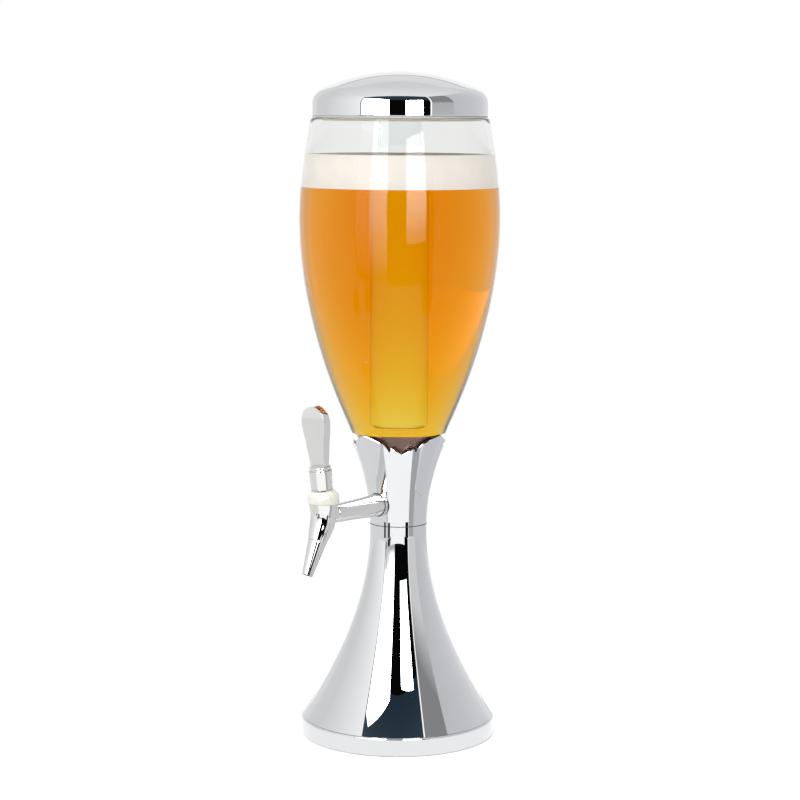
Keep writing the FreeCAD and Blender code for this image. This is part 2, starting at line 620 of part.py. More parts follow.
# ---- lid and ice tube -------------------------------------------------------------------
def lid_path(depth):
    """Outer path of the dome at a depth under its surface, from its lower edge to the crown."""
    radius = LID_RADIUS - depth
    shoulder = LID_SHOULDER_RADIUS - depth
    crown = LID_CROWN_RADIUS - depth
    shoulder_r = LID_RADIUS - LID_SHOULDER_RADIUS
    shoulder_z = LID_BOTTOM + LID_SIDE
    apart = LID_CROWN_RADIUS - LID_SHOULDER_RADIUS
    crown_z = shoulder_z - math.sqrt(apart ** 2 - shoulder_r ** 2)
    lean = math.asin(shoulder_r / apart)
    turn = math.pi / 2 - lean
    join = (shoulder_r + shoulder * math.sin(lean), shoulder_z + shoulder * math.cos(lean))
    half = (shoulder_r + shoulder * math.cos(turn / 2), shoulder_z + shoulder * math.sin(turn / 2))
    midway = (crown * math.sin(lean / 2), crown_z + crown * math.cos(lean / 2))
    top = (0, crown_z + crown)
    return (radius, shoulder_z), half, join, midway, top


def lid_shell():
    side, half, join, midway, top = lid_path(0)
    in_side, in_half, in_join, in_midway, in_top = lid_path(LID_WALL)
    lip = LID_WALL / 2
    return turned([(in_side[0], LID_BOTTOM), (side[0] - lip, LID_BOTTOM), (side[0], LID_BOTTOM + lip),
                   arc(side, half, join), arc(join, midway, top), arc(in_top, in_midway, in_join),
                   arc(in_join, in_half, in_side)])


def liner_radius():
    """Outer radius of the liner's skirt, inside the seal."""
    return RIM_RADIUS - VESSEL_WALL / 2 - LID_SEAL_WIDTH


def lid_liner():
    skirt = liner_radius()
    rim = LID_RADIUS - LID_WALL
    skirt_bottom = LINER_BOTTOM - LINER_SKIRT_DEPTH
    socket = ICE_RADIUS + FIT
    boss = socket + LINER_WALL
    boss_bottom = LINER_BOTTOM - LINER_SKIRT_DEPTH / 2
    return turned([(socket, boss_bottom), (boss, boss_bottom), (boss, LINER_BOTTOM),
                   (skirt - LINER_WALL, LINER_BOTTOM), (skirt - LINER_WALL, skirt_bottom),
                   (skirt, skirt_bottom), (skirt, LINER_BOTTOM), (rim, LINER_BOTTOM), (rim, LINER_TOP),
                   (socket, LINER_TOP)])


def lid_seal_ring():
    skirt = liner_radius()
    outer = skirt + LID_SEAL_WIDTH
    collar = LID_RADIUS - LID_WALL - FIT
    return turned([(skirt, RIM_HEIGHT + LID_GAP), (outer, RIM_HEIGHT + LID_GAP), (outer, LID_BOTTOM - FIT),
                   (collar, LID_BOTTOM - FIT), (collar, LINER_BOTTOM), (skirt, LINER_BOTTOM)])


def ice_tube():
    inner = ICE_RADIUS - ICE_WALL
    top = LINER_TOP + ICE_FLANGE
    bend = 1 - math.sqrt(0.5)
    outer_round = arc((ICE_RADIUS - ICE_BOTTOM_ROUND, ICE_BOTTOM),
                      (ICE_RADIUS - ICE_BOTTOM_ROUND * bend, ICE_BOTTOM + ICE_BOTTOM_ROUND * bend),
                      (ICE_RADIUS, ICE_BOTTOM + ICE_BOTTOM_ROUND))
    inner_bend = ICE_BOTTOM_ROUND - ICE_WALL
    floor = ICE_BOTTOM + ICE_WALL
    inner_round = arc((inner, floor + inner_bend), (inner - inner_bend * bend, floor + inner_bend * bend),
                      (inner - inner_bend, floor))
    return turned([(0, ICE_BOTTOM), outer_round, (ICE_RADIUS, LINER_TOP), (ICE_FLANGE_RADIUS, LINER_TOP),
                   (ICE_FLANGE_RADIUS, top), (inner, top), inner_round, (0, floor)])


# ---- shank that carries the tap -----------------------------------------------------------
def tap_shank():
    far = TAP_REACH - TAP_SEAT
    tube = across(SHANK_RADIUS, SHANK_INNER_END, far)
    return tube.cut(across(SHANK_BORE, SHANK_INNER_END, far))


def shank_sleeve():
    start = TAP_REACH - TAP_REAR
    length = start - COLLAR_NECK_RADIUS
    cone = Part.makeCone(SLEEVE_TAP_RADIUS, SLEEVE_COLLAR_RADIUS, length, V(0, -start, SHANK_HEIGHT), ALONG_Y)
    bead = across(GASKET_RADIUS, COLLAR_NECK_RADIUS / 2, 2 * COLLAR_NECK_RADIUS)
    bead = bead.common(collar_surface(GASKET_THICKNESS + SLEEVE_LIP))
    sleeve = cone.fuse(bead).cut(across(SHANK_RADIUS + FIT, 0, start))
    return sleeve.cut(collar_surface(GASKET_THICKNESS)).removeSplitter()


def shank_gasket_outer():
    band = across(GASKET_RADIUS, COLLAR_NECK_RADIUS / 2, 2 * COLLAR_NECK_RADIUS)
    band = band.common(collar_surface(GASKET_THICKNESS).cut(collar_surface(0))).cut(petal())
    return band.cut(across(SHANK_RADIUS + FIT, 0, 2 * COLLAR_NECK_RADIUS))


def shank_gasket_inner():
    near = NUT_FACE - INNER_GASKET_THICKNESS
    washer = across(INNER_GASKET_RADIUS, near, NUT_FACE)
    return washer.cut(across(SHANK_RADIUS, near, NUT_FACE))


def shank_nut():
    far = NUT_FACE - INNER_GASKET_THICKNESS
    nut = hexagon(SHANK_NUT_FLATS, 0, SHANK_NUT_LENGTH)
    nut.rotate(V(0, 0, 0), ALONG_X, -90)
    nut.rotate(V(0, 0, 0), ALONG_Y, 90)
    nut.translate(V(0, -far, SHANK_HEIGHT))
    return nut.cut(across(SHANK_RADIUS, far - SHANK_NUT_LENGTH, far))


# ---- tap body and spout -------------------------------------------------------------------
def along_spout(run):
    """Point on the spout's leaning axis."""
    return ELBOW + SPOUT_DIRECTION * run


def round_section(centre, radius, lean):
    """Circle square to an axis that leans forwards by an angle in degrees."""
    normal = V(0, -math.sin(math.radians(lean)), -math.cos(math.radians(lean)))
    return Part.Wire(Part.Circle(centre, normal, radius).toShape())


def tap_outside():
    """Outer form of the body: an upright cup that bends into the leaning spout."""
    top = V(0, -TAP_REACH, TAP_SHOULDER)
    waist = V(0, -TAP_REACH, (TAP_SHOULDER + ELBOW.z) / 2)
    sections = [round_section(top, TAP_TOP_RADIUS, 0), round_section(waist, TAP_WAIST_RADIUS, 0),
                round_section(along_spout(SEAM_RUN * 0.15), TAP_WAIST_RADIUS * 0.95, SPOUT_LEAN * 0.6),
                round_section(along_spout(SEAM_RUN * 0.6), (TAP_WAIST_RADIUS + TAP_SEAM_RADIUS) / 2, SPOUT_LEAN),
                round_section(along_spout(SEAM_RUN), TAP_SEAM_RADIUS, SPOUT_LEAN)]
    return Part.makeLoft(sections, True, False)


def tap_body():
    body = tap_outside()
    neck = Part.makeCylinder(TAP_NECK_RADIUS, TAP_NECK, V(0, -TAP_REACH, TAP_SHOULDER))
    rear = across(SLEEVE_TAP_RADIUS, TAP_REACH - TAP_REAR, TAP_REACH)
    body = body.fuse([neck, rear])
    neck_top = TAP_SHOULDER + TAP_NECK
    cavity = Part.makeCylinder(CAVITY_RADIUS, SEAL_SEAT - CAVITY_FLOOR, V(0, -TAP_REACH, CAVITY_FLOOR))
    ball_floor = PIVOT_HEIGHT - math.sqrt(BALL_RADIUS ** 2 - CAVITY_RADIUS ** 2) - 2 * BALL_FIT
    ball_seat = Part.makeCylinder(BALL_RADIUS + BALL_FIT, SEAL_SEAT - ball_floor, V(0, -TAP_REACH, ball_floor))
    seal_seat = Part.makeCylinder(LEVER_SEAL_RADIUS, neck_top - SEAL_SEAT, V(0, -TAP_REACH, SEAL_SEAT))
    shank_socket = across(SHANK_RADIUS, 0, TAP_REACH - TAP_SEAT)
    seat_hole = across(SEAT_HOLE_RADIUS, 0, TAP_REACH)
    guide = across(STEM_RADIUS + STEM_GUIDE_FIT, TAP_REACH, TAP_REACH + CAVITY_RADIUS + GUIDE_DEPTH)
    spout_hole = Part.makeCylinder(SPOUT_BORE, TIP_RUN, ELBOW, SPOUT_DIRECTION)
    plug_start = along_spout(SEAM_RUN - NOZZLE_PLUG - FIT)
    plug_hole = Part.makeCylinder(NOZZLE_PLUG_RADIUS + FIT, TIP_RUN, plug_start, SPOUT_DIRECTION)
    for tool in (cavity, ball_seat, seal_seat, shank_socket, seat_hole, guide, spout_hole, plug_hole):
        body = body.cut(tool)
    return body


def spout_nozzle():
    length = TIP_RUN - SEAM_RUN
    cone = Part.makeCone(TAP_SEAM_RADIUS, SPOUT_TIP_RADIUS, length, along_spout(SEAM_RUN), SPOUT_DIRECTION)
    plug = Part.makeCylinder(NOZZLE_PLUG_RADIUS, NOZZLE_PLUG + 1, along_spout(SEAM_RUN - NOZZLE_PLUG),
                             SPOUT_DIRECTION)
    bore = Part.makeCylinder(SPOUT_BORE, TIP_RUN, along_spout(0), SPOUT_DIRECTION)
    return cone.fuse(plug).cut(bore).removeSplitter()


# ---- bonnet, lever and handle ---------------------------------------------------------------
def at_tap(shape):
    """Move a shape turned about Z onto the tap's upright axis."""
    shape.translate(V(0, -TAP_REACH, 0))
    return shape


def lever_seal():
    return at_tap(ring(LEVER_SEAL_BORE, LEVER_SEAL_RADIUS, SEAL_SEAT, SEAL_SEAT + LEVER_SEAL_HEIGHT))


def dome_height(radius):
    """Height of the bonnet's dome, a sphere about the pivot, at a radius."""
    return PIVOT_HEIGHT + math.sqrt(BONNET_DOME_RADIUS ** 2 - radius ** 2)


def leaning(shape, angle=LEVER_LEAN):
    """Tip a shape forwards about the lever's pivot."""
    shape.rotate(PIVOT, ALONG_X, angle)
    return shape


def bonnet_mouth():
    """Room for the lever's neck over its whole swing, under the ferrule at all times."""
    spread = LEVER_SWING / 2
    neck = LEVER_NECK_RADIUS + BONNET_MOUTH_GAP
    reach = BONNET_DOME_RADIUS + DOME_GAP
    wide = neck + reach * math.tan(math.radians(spread))
    return leaning(Part.makeCone(neck, wide, reach, PIVOT), LEVER_LEAN + spread)


def bonnet():
    press_bottom = SEAL_SEAT + LEVER_SEAL_HEIGHT
    roof = TAP_SHOULDER + TAP_NECK + FIT
    thread = TAP_NECK_RADIUS + FIT
    press_outer = LEVER_SEAL_RADIUS - FIT
    mid_r = BONNET_DOME_EDGE / 2
    dome = arc((BONNET_DOME_EDGE, dome_height(BONNET_DOME_EDGE)), (mid_r, dome_height(mid_r)),
               (0, dome_height(0)))
    cap = at_tap(turned([(thread, TAP_SHOULDER), (BONNET_RADIUS, TAP_SHOULDER),
                         (BONNET_RADIUS, BONNET_SIDE_TOP), dome, (0, press_bottom),
                         (press_outer, press_bottom), (press_outer, roof), (thread, roof)]))
    return cap.cut(bonnet_mouth()).cut(Part.makeSphere(BALL_RADIUS + DOME_GAP, PIVOT))


def lever_core():
    """Ball with the finger that moves the stem and, leaning forwards, the neck and its stud."""
    ball = Part.makeSphere(BALL_RADIUS, PIVOT)
    neck = Part.makeCylinder(LEVER_NECK_RADIUS, LEVER_TOP - PIVOT_HEIGHT, PIVOT)
    thread_bottom = FERRULE_BOTTOM + HANDLE_FOOT
    thread = Part.makeCylinder(LEVER_THREAD_RADIUS, LEVER_TOP - thread_bottom, V(0, -TAP_REACH, thread_bottom))
    finger = Part.makeCylinder(FINGER_RADIUS, PIVOT_HEIGHT - SHANK_HEIGHT, V(0, -TAP_REACH, SHANK_HEIGHT))
    tip = Part.makeSphere(FINGER_TIP_RADIUS, V(0, -TAP_REACH, SHANK_HEIGHT))
    return ball.fuse([leaning(neck), leaning(thread), finger, tip]).removeSplitter()


def lever_ferrule():
    height = FERRULE_TOP - FERRULE_BOTTOM
    cone = Part.makeCone(FERRULE_BOTTOM_RADIUS, FERRULE_TOP_RADIUS, height, V(0, -TAP_REACH, FERRULE_BOTTOM))
    hollow = Part.makeSphere(BONNET_DOME_RADIUS + DOME_GAP, PIVOT)
    return leaning(cone).cut(hollow).cut(lever_core())


def handle_side(points, start_lean, end_lean):
    """Smooth side of the paddle through points, leaving and arriving at given directions."""
    rail = Part.BSplineCurve()
    length = points[0].distanceToPoint(points[-1]) / 2
    rail.interpolate(Points=points, InitialTangent=start_lean * length, FinalTangent=end_lean * length)
    return rail.toShape()


def paddle_front():
    """Front outline of the paddle: narrow foot, spreading sides, round top."""
    low = FERRULE_TOP + HANDLE_FOOT / 2
    half_low = HANDLE_BOTTOM_WIDTH / 2
    half_top = HANDLE_TOP_WIDTH / 2
    shoulder = HANDLE_TOP - half_top
    waist = half_low + (half_top - half_low) * 0.42
    y = -TAP_REACH - HANDLE_THICKNESS
    rising = [V(half_low, y, low), V(waist, y, (low + shoulder) / 2), V(half_top, y, shoulder)]
    falling = [V(-point.x, y, point.z) for point in reversed(rising)]
    right = handle_side(rising, V(HANDLE_FLARE, 0, 1), UP)
    left = handle_side(falling, UP * -1, V(HANDLE_FLARE, 0, -1))
    crown = Part.Arc(rising[-1], V(0, y, HANDLE_TOP), falling[0]).toShape()
    foot = Part.LineSegment(falling[-1], rising[0]).toShape()
    return Part.Face(Part.Wire([foot, right, crown, left]))


def paddle_side():
    """Side outline of the paddle, thickest halfway up."""
    low = FERRULE_TOP + HANDLE_FOOT / 2
    high = HANDLE_TOP + 1
    middle = (low + HANDLE_TOP) / 2
    thick = HANDLE_THICKNESS / 2
    thin = HANDLE_END_THICKNESS / 2
    x = -HANDLE_TOP_WIDTH
    y = -TAP_REACH
    front = Part.Arc(V(x, y - thin, low), V(x, y - thick, middle), V(x, y - thin, high)).toShape()
    top = Part.LineSegment(V(x, y - thin, high), V(x, y + thin, high)).toShape()
    back = Part.Arc(V(x, y + thin, high), V(x, y + thick, middle), V(x, y + thin, low)).toShape()
    bottom = Part.LineSegment(V(x, y + thin, low), V(x, y - thin, low)).toShape()
    return Part.Face(Part.Wire([front, top, back, bottom]))


def tap_handle():
    foot = Part.makeCylinder(HANDLE_FOOT_RADIUS, HANDLE_FOOT, V(0, -TAP_REACH, FERRULE_TOP))
    paddle = paddle_front().extrude(ALONG_Y * 2 * HANDLE_THICKNESS)
    paddle = paddle.common(paddle_side().extrude(ALONG_X * 2 * HANDLE_TOP_WIDTH))
    rim = [edge for edge in paddle.Edges
           if edge.BoundBox.ZLength > HANDLE_ROUND and edge.BoundBox.YLength < HANDLE_THICKNESS / 2]
    paddle = paddle.makeFillet(HANDLE_ROUND, rim)
    return leaning(foot.fuse(paddle)).cut(lever_core()).removeSplitter()


# ---- valve ------------------------------------------------------------------------------
def valve_stem():
    washer_front = TAP_REACH - TAP_SEAT - VALVE_GAP
    washer_rear = washer_front - VALVE_WASHER_THICKNESS
    rod = across(STEM_RADIUS, washer_rear, TAP_REACH + STEM_FRONT)
    yoke = across(YOKE_RADIUS, TAP_REACH - YOKE_LENGTH / 2, TAP_REACH + YOKE_LENGTH / 2)
    head = across(VALVE_HEAD_RADIUS, washer_rear - VALVE_HEAD, washer_rear)
    slot = Part.makeBox(2 * SLOT_HALF_WIDTH, 2 * SLOT_HALF_LENGTH, 4 * YOKE_RADIUS,
                        V(-SLOT_HALF_WIDTH, -TAP_REACH - SLOT_HALF_LENGTH, SHANK_HEIGHT - 2 * YOKE_RADIUS))
    return rod.fuse([yoke, head]).cut(slot).removeSplitter()


def valve_washer():
    front = TAP_REACH - TAP_SEAT - VALVE_GAP
    rear = front - VALVE_WASHER_THICKNESS
    return across(VALVE_WASHER_RADIUS, rear, front).cut(across(STEM_RADIUS, rear, front))


NODES = (anti_slip_pad, bottom_plate, plate_screws, foot_ring, base_shell, ballast_weight, tie_rod,
         tie_rod_washer, tie_rod_nut, petal_collar, neck_chamber, vessel_seal_ring, vessel_foot, vessel,
         lid_shell, lid_liner, lid_seal_ring, ice_tube, tap_shank, shank_sleeve, shank_gasket_outer,
         shank_gasket_inner, shank_nut, tap_body, spout_nozzle, bonnet, lever_seal, lever_core,
         lever_ferrule, tap_handle, valve_stem, valve_washer)


def main():
    os.makedirs("parts", exist_ok=True)
    for make in NODES:
        shape = make()
        shape.exportStep("parts/" + make.__name__ + ".step")
        box = shape.BoundBox
        print("%-20s solids %d valid %s volume %9.0f  z %.1f to %.1f" % (
            make.__name__, len(shape.Solids), shape.isValid(), shape.Volume, box.ZMin, box.ZMax))


main()
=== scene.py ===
"""Looks of a drink tower: chrome plating, clear vessel, drink, foam and tap, in a light tent."""
import math

import bmesh
import bpy
from mathutils import Matrix, Vector


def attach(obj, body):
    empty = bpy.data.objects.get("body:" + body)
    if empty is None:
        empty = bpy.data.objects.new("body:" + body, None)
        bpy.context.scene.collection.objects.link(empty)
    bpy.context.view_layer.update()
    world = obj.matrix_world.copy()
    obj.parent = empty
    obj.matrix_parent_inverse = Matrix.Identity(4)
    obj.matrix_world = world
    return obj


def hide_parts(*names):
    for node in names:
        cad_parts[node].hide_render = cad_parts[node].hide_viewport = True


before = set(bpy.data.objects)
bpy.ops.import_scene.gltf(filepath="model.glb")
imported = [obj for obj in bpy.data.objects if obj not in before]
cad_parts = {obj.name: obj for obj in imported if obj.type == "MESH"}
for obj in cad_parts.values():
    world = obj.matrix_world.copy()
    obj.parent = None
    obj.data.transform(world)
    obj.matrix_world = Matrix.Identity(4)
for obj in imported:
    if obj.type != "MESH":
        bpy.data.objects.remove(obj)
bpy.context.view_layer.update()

# ---- sizes, in millimetres ----
MM = 0.001
OVERLAP = 0.05                 # a liquid reaches this far into the wall that holds it
FIT = 0.1                      # clearance of pieces that slide into each other
REST_GAP = 0.02                # gap left between pieces that rest on each other
MERGE = 0.001                  # points nearer than this are one

FINE_STEPS = 192               # steps round the widest mirror finishes
STEPS = 160                    # round the other large pieces
TAP_STEPS = 128                # round the tap
SMALL_STEPS = 96               # round its smaller pieces
STUB_STEPS = 64

FOOT_RADIUS = 83.0
FOOT_WALL = 2.0
FOOT_LIFT = 0.8
FOOT_TOP = 15.6
FLANGE_BOTTOM = 4.5
FLANGE_TOP = 6.5
FLANGE_WIDTH = 6.0

BASE_HEIGHT = 183.0
BASE_WALL = 2.5
BASE_DECK = 3.5
WAIST_HEIGHT = 176.0
WAIST_RADIUS = 24.5
FLARE_WIDTH = 57.5             # flare's lower edge outside the waist
FLARE_POWER = 1.88
ROD_HOLE = 4.1
SEAM_DEPTH = 0.7               # step in the seam between base and collar, coloured dark as painted shade
SEAM_HEIGHT = 0.35

COLLAR_NECK_RADIUS = 24.6
COLLAR_SPREAD = 19.5
COLLAR_HEIGHT = 79.2
COLLAR_POWER = 1.91
COLLAR_WALL = 2.6
PETAL_HALF_ANGLE = 20.0
PETAL_POINT = 207.0
PETAL_FLANK = 215.0
PETAL_TIP = 262.2
PETAL_TIP_ROUND = 22.5
PETAL_STEP = 0.8
PETAL_STEP_ANGLE = 0.45        # width of half a petal's step, in degrees
PETAL_STEP_RISE = 2.5          # the step grows to its full height over this length
PETAL_RIDGE = 1.9
VALLEY_LOW = 246.6
VALLEY_SLOPE = 27.0

SPIGOT_BOTTOM = 224.0
SPIGOT_RADIUS = 25.0
SPIGOT_WALL = 3.0
VESSEL_SHOULDER = 240.0
VESSEL_WALL = 2.5
CUP_WALL = 1.2                 # cup in the vessel's lower end, dark with painted shade
CUP_FLOOR = 242.5
CUP_TOP = 262.0
CONTOUR_GAP = 0.3
SEAT_END = 257.0               # the vessel follows the collar up to here
FREE_START = 272.0             # and its own curve from here
LOW_HEIGHT = 268.0
LOW_RADIUS = 43.0
LOW_POWER = 1.9                # the belly's curve below its widest place
BELLY_HEIGHT = 442.0
BELLY_RADIUS = 84.6
RIM_HEIGHT = 526.0
RIM_RADIUS = 74.7
RIM_POWER = 1.8                # and above it
DRINK_TOP = 468.6
FOAM_TOP = 496.5

LID_RADIUS = 74.1
LID_BOTTOM = 527.5
LID_SHOULDER = 538.0
LID_SHOULDER_RADIUS = 14.0
LID_CROWN_RADIUS = 156.0
LID_WALL = 2.0
LINER_BOTTOM = 529.1
LINER_TOP = 531.6
LINER_WALL = 2.0
SKIRT_RADIUS = 71.05
SKIRT_BOTTOM = 523.1
BOSS_BOTTOM = 526.1
SEAL_RADIUS = 73.45
ICE_RADIUS = 18.5
ICE_WALL = 1.5
ICE_BOTTOM = 270.0
ICE_ROUND = 6.0
ICE_FLANGE_RADIUS = 23.0
ICE_TOP = 533.6
ICE_FILL = 503.0               # the tube holds melt water up to here

TAP_REACH = 95.8
SHANK_HEIGHT = 201.6
SHANK_HOLE = 6.6
SHANK_SOCKET_RADIUS = 6.0
SHANK_SOCKET_SIDE = 6.0        # the cup is open only this far behind the tap's axis
SHANK_SOCKET_FLOOR = 7.4       # behind the tap's axis
SLEEVE_INNER_END = 25.2
SLEEVE_OUTER_END = 84.0
SLEEVE_TAP_RADIUS = 8.15
SLEEVE_COLLAR_RADIUS = 9.48
BEAD_RADIUS = 10.1
BEAD_END = 28.8
PIVOT_HEIGHT = 210.0
LEVER_LEAN = 7.5
LEVER_SWING = 17.0
TAP_TOP = 212.4
TAP_TOP_RADIUS = 12.5
ELBOW_HEIGHT = 198.0
SPOUT_LEAN = 24.5
SEAM_RUN = 18.8
SEAM_RADIUS = 7.8
TIP_RUN = 47.5
TIP_RADIUS = 4.6
SPOUT_BORE = 3.5
BONNET_RADIUS = 13.15
BONNET_BORE = 11.1
BONNET_MOUTH = 5.4
BONNET_DOME = 16.05
FERRULE_HOLLOW = 16.4
FERRULE_LOW_RADIUS = 9.0
FERRULE_TOP_RADIUS = 9.8
FERRULE_BORE = 2.5
FERRULE_TOP = 240.7
HANDLE_FOOT_RADIUS = 8.9
HANDLE_FOOT_TOP = 244.0
HANDLE_LOW = 242.35
HANDLE_SHOULDER = 281.95
HANDLE_LOW_WIDTH = 7.1         # half the paddle's width at its foot
HANDLE_WIDTH = 12.35           # and at its shoulder
HANDLE_WAIST = 0.42            # how much of the difference it has gained halfway up
HANDLE_THICKNESS = 8.0
HANDLE_END_THICKNESS = 6.0
HANDLE_ROUND = 2.0             # the bevel stops sooner, at the rim's short edges
HANDLE_TOP = 294.3


# ---- outlines ----
def spaced(low, high, parts):
    """Evenly spaced values from low to high."""
    return [low + (high - low) * k / parts for k in range(parts + 1)]


def through(keys, parts, ends=None):
    """Rows of numbers at even places that pass smoothly through (place, numbers) keys."""
    last = len(keys) - 1

    def slope(k, item):
        """Slope at a key: the given one at an end, or that between the keys beside it."""
        if ends and k in (0, last):
            return ends[0] if k == 0 else ends[1]
        a = max(k - 1, 0)
        b = min(k + 1, last)
        return (keys[b][item] - keys[a][item]) / (keys[b][0] - keys[a][0])

    rows = []
    for place in spaced(keys[0][0], keys[-1][0], parts):
        k = max(i for i in range(last) if i == 0 or keys[i][0] <= place)
        span = keys[k + 1][0] - keys[k][0]
        t = (place - keys[k][0]) / span
        row = [place]
        for item in range(1, len(keys[0])):
            row.append(keys[k][item] * (1 - t) ** 2 * (1 + 2 * t)
                       + keys[k + 1][item] * t ** 2 * (3 - 2 * t)
                       + slope(k, item) * span * t * (1 - t) ** 2
                       - slope(k + 1, item) * span * t ** 2 * (1 - t))
        rows.append(row)
    return rows


def rounded(corners, parts=5):
    """Outline points from (radius, height) corners; a third number rounds its corner."""
    points = []
    for k, corner in enumerate(corners):
        here = Vector(corner[:2])
        if len(corner) == 2:
            points.append(tuple(here))
            continue
        size = corner[2]
        before = (Vector(corners[k - 1][:2]) - here).normalized()
        after = (Vector(corners[(k + 1) % len(corners)][:2]) - here).normalized()
        half = before.angle(after) / 2
        centre = here + (before + after).normalized() * size / math.sin(half)
        start = (here + before * size / math.tan(half) - centre).normalized()
        end = (here + after * size / math.tan(half) - centre).normalized()
        for step in range(parts + 1):
            points.append(tuple(centre + start.slerp(end, step / parts).normalized() * size))
    return points


def arc(centre, radius, start, end, parts):
    """Points on an arc between two angles in degrees, counted from the level."""
    turns = [math.radians(turn) for turn in spaced(start, end, parts)]
    return [(centre[0] + radius * math.cos(turn), centre[1] + radius * math.sin(turn))
            for turn in turns]


def held(start, end, reach=1.0):
    """Points near both ends of a straight side, which keep its mirror finish straight between."""
    along = (Vector(end) - Vector(start)).normalized() * reach
    return [tuple(Vector(start) + along), tuple(Vector(end) - along)]


def inset(points, depth):
    """Points moved square to the line that they follow, towards the axis."""
    moved = []
    for k, (r, z) in enumerate(points):
        before = points[max(k - 1, 0)]
        after = points[min(k + 1, len(points) - 1)]
        run = Vector((after[0] - before[0], after[1] - before[1])).normalized()
        moved.append((r - depth * run.y, z + depth * run.x))
    return moved


def base_radius(z):
    """Radius of the flared base, which is narrowest a little below its top."""
    if z > WAIST_HEIGHT:
        return WAIST_RADIUS + 0.1 * (z - WAIST_HEIGHT) / (BASE_HEIGHT - WAIST_HEIGHT)
    share = (WAIST_HEIGHT - z) / (WAIST_HEIGHT - FOOT_TOP)
    return WAIST_RADIUS + FLARE_WIDTH * share ** FLARE_POWER


def collar_radius(z):
    """Radius of the collar between its petals."""
    share = max(z - BASE_HEIGHT, 0) / COLLAR_HEIGHT
    return COLLAR_NECK_RADIUS + COLLAR_SPREAD * share ** COLLAR_POWER


def seat_radius(z):
    """Radius of the vessel where it sits in the collar."""
    slope = collar_radius(z + 0.5) - collar_radius(z - 0.5)
    return collar_radius(z) - (COLLAR_WALL + CONTOUR_GAP) * math.hypot(1, slope)


def free_radius(z):
    """Radius of the vessel above the collar."""
    if z < BELLY_HEIGHT:
        share = (BELLY_HEIGHT - z) / (BELLY_HEIGHT - LOW_HEIGHT)
        return BELLY_RADIUS - (BELLY_RADIUS - LOW_RADIUS) * share ** LOW_POWER
    share = (z - BELLY_HEIGHT) / (RIM_HEIGHT - BELLY_HEIGHT)
    return BELLY_RADIUS - (BELLY_RADIUS - RIM_RADIUS) * share ** RIM_POWER


def vessel_side():
    """Outer side of the vessel from its shoulder to just under the rim."""
    seat = [(seat_radius(z), z) for z in spaced(VESSEL_SHOULDER, SEAT_END, 5)]
    ends = [(SEAT_END, seat_radius(SEAT_END)), (FREE_START, free_radius(FREE_START))]
    slopes = (seat_radius(SEAT_END) - seat_radius(SEAT_END - 1),
              free_radius(FREE_START + 1) - free_radius(FREE_START))
    joint = through(ends, 6, slopes)
    free = [(free_radius(z), z) for z in spaced(FREE_START, RIM_HEIGHT - VESSEL_WALL / 2, 64)]
    return seat + [(r, z) for z, r in joint[1:-1]] + free


def cut_at(points, low, high):
    """The part of a rising line between two heights, with points on both."""
    kept = []
    for (r0, z0), (r1, z1) in zip(points, points[1:]):
        for level in (low, high):
            if z0 < level <= z1:
                kept.append((r0 + (r1 - r0) * (level - z0) / (z1 - z0), level))
        if low < z1 < high:
            kept.append((r1, z1))
    return kept


# ---- meshes ----
def turned(outline, steps):
    """Mesh turned about Z from an outline; one that ends on the axis stays open there."""
    bm = bmesh.new()
    verts = [bm.verts.new((r, 0, z)) for r, z in outline]
    ends = verts[1:] if outline[0][0] == outline[-1][0] == 0 else verts[1:] + verts[:1]
    edges = [bm.edges.new(pair) for pair in zip(verts, ends)]
    bmesh.ops.spin(bm, geom=verts + edges, cent=(0, 0, 0), axis=(0, 0, 1), angle=math.tau,
                   steps=steps, use_merge=True)
    bmesh.ops.remove_doubles(bm, verts=bm.verts[:], dist=MERGE)
    return bm


def moved(bm, *steps):
    """The same mesh after some moves and turns, the last one first."""
    matrix = Matrix.Identity(4)
    for step in steps:
        matrix = matrix @ step
    bmesh.ops.transform(bm, matrix=matrix, verts=bm.verts[:])
    return bm


def second_finish(bm, low, high, inward=True):
    """Give the faces between two heights a second finish, or only those that face inwards."""
    bmesh.ops.recalc_face_normals(bm, faces=bm.faces[:])
    for face in bm.faces:
        centre = face.calc_center_median()
        if low < centre.z < high and (not inward or face.normal.xy.dot(centre.xy) < 0):
            face.material_index = 1
    return bm


def piece(name, bm, finishes, body, slot, *nodes, sharp=35.0):
    """A finished piece from a mesh in millimetres, in place of CAD nodes where any are named."""
    bmesh.ops.remove_doubles(bm, verts=bm.verts[:], dist=MERGE)
    bmesh.ops.recalc_face_normals(bm, faces=bm.faces[:])
    bmesh.ops.scale(bm, vec=(MM, MM, MM), verts=bm.verts[:])
    mesh = bpy.data.meshes.new(name)
    bm.to_mesh(mesh)
    bm.free()
    mesh.shade_smooth()
    mesh.set_sharp_from_angle(angle=math.radians(sharp))
    for finish in finishes:
        mesh.materials.append(finish)
    made = bpy.data.objects.new(name, mesh)
    bpy.context.scene.collection.objects.link(made)
    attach(made, body)
    if nodes:
        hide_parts(*nodes)
    return made


AT_PIVOT = Matrix.Translation((0, -TAP_REACH, PIVOT_HEIGHT))
ON_LEVER = (AT_PIVOT @ Matrix.Rotation(math.radians(LEVER_LEAN), 4, "X")
            @ Matrix.Translation((0, 0, -PIVOT_HEIGHT)))
ALONG_ARM = Matrix.Translation((0, 0, SHANK_HEIGHT)) @ Matrix.Rotation(math.radians(90), 4, "X")


def along_spout(run, lean=SPOUT_LEAN):
    """Place and direction of a section of the spout, a run below its elbow."""
    down = Matrix.Rotation(math.radians(180 - SPOUT_LEAN), 4, "X")
    centre = Vector((0, -TAP_REACH, ELBOW_HEIGHT)) + down @ Vector((0, 0, run))
    return Matrix.Translation(centre) @ Matrix.Rotation(math.radians(180 - lean), 4, "X")


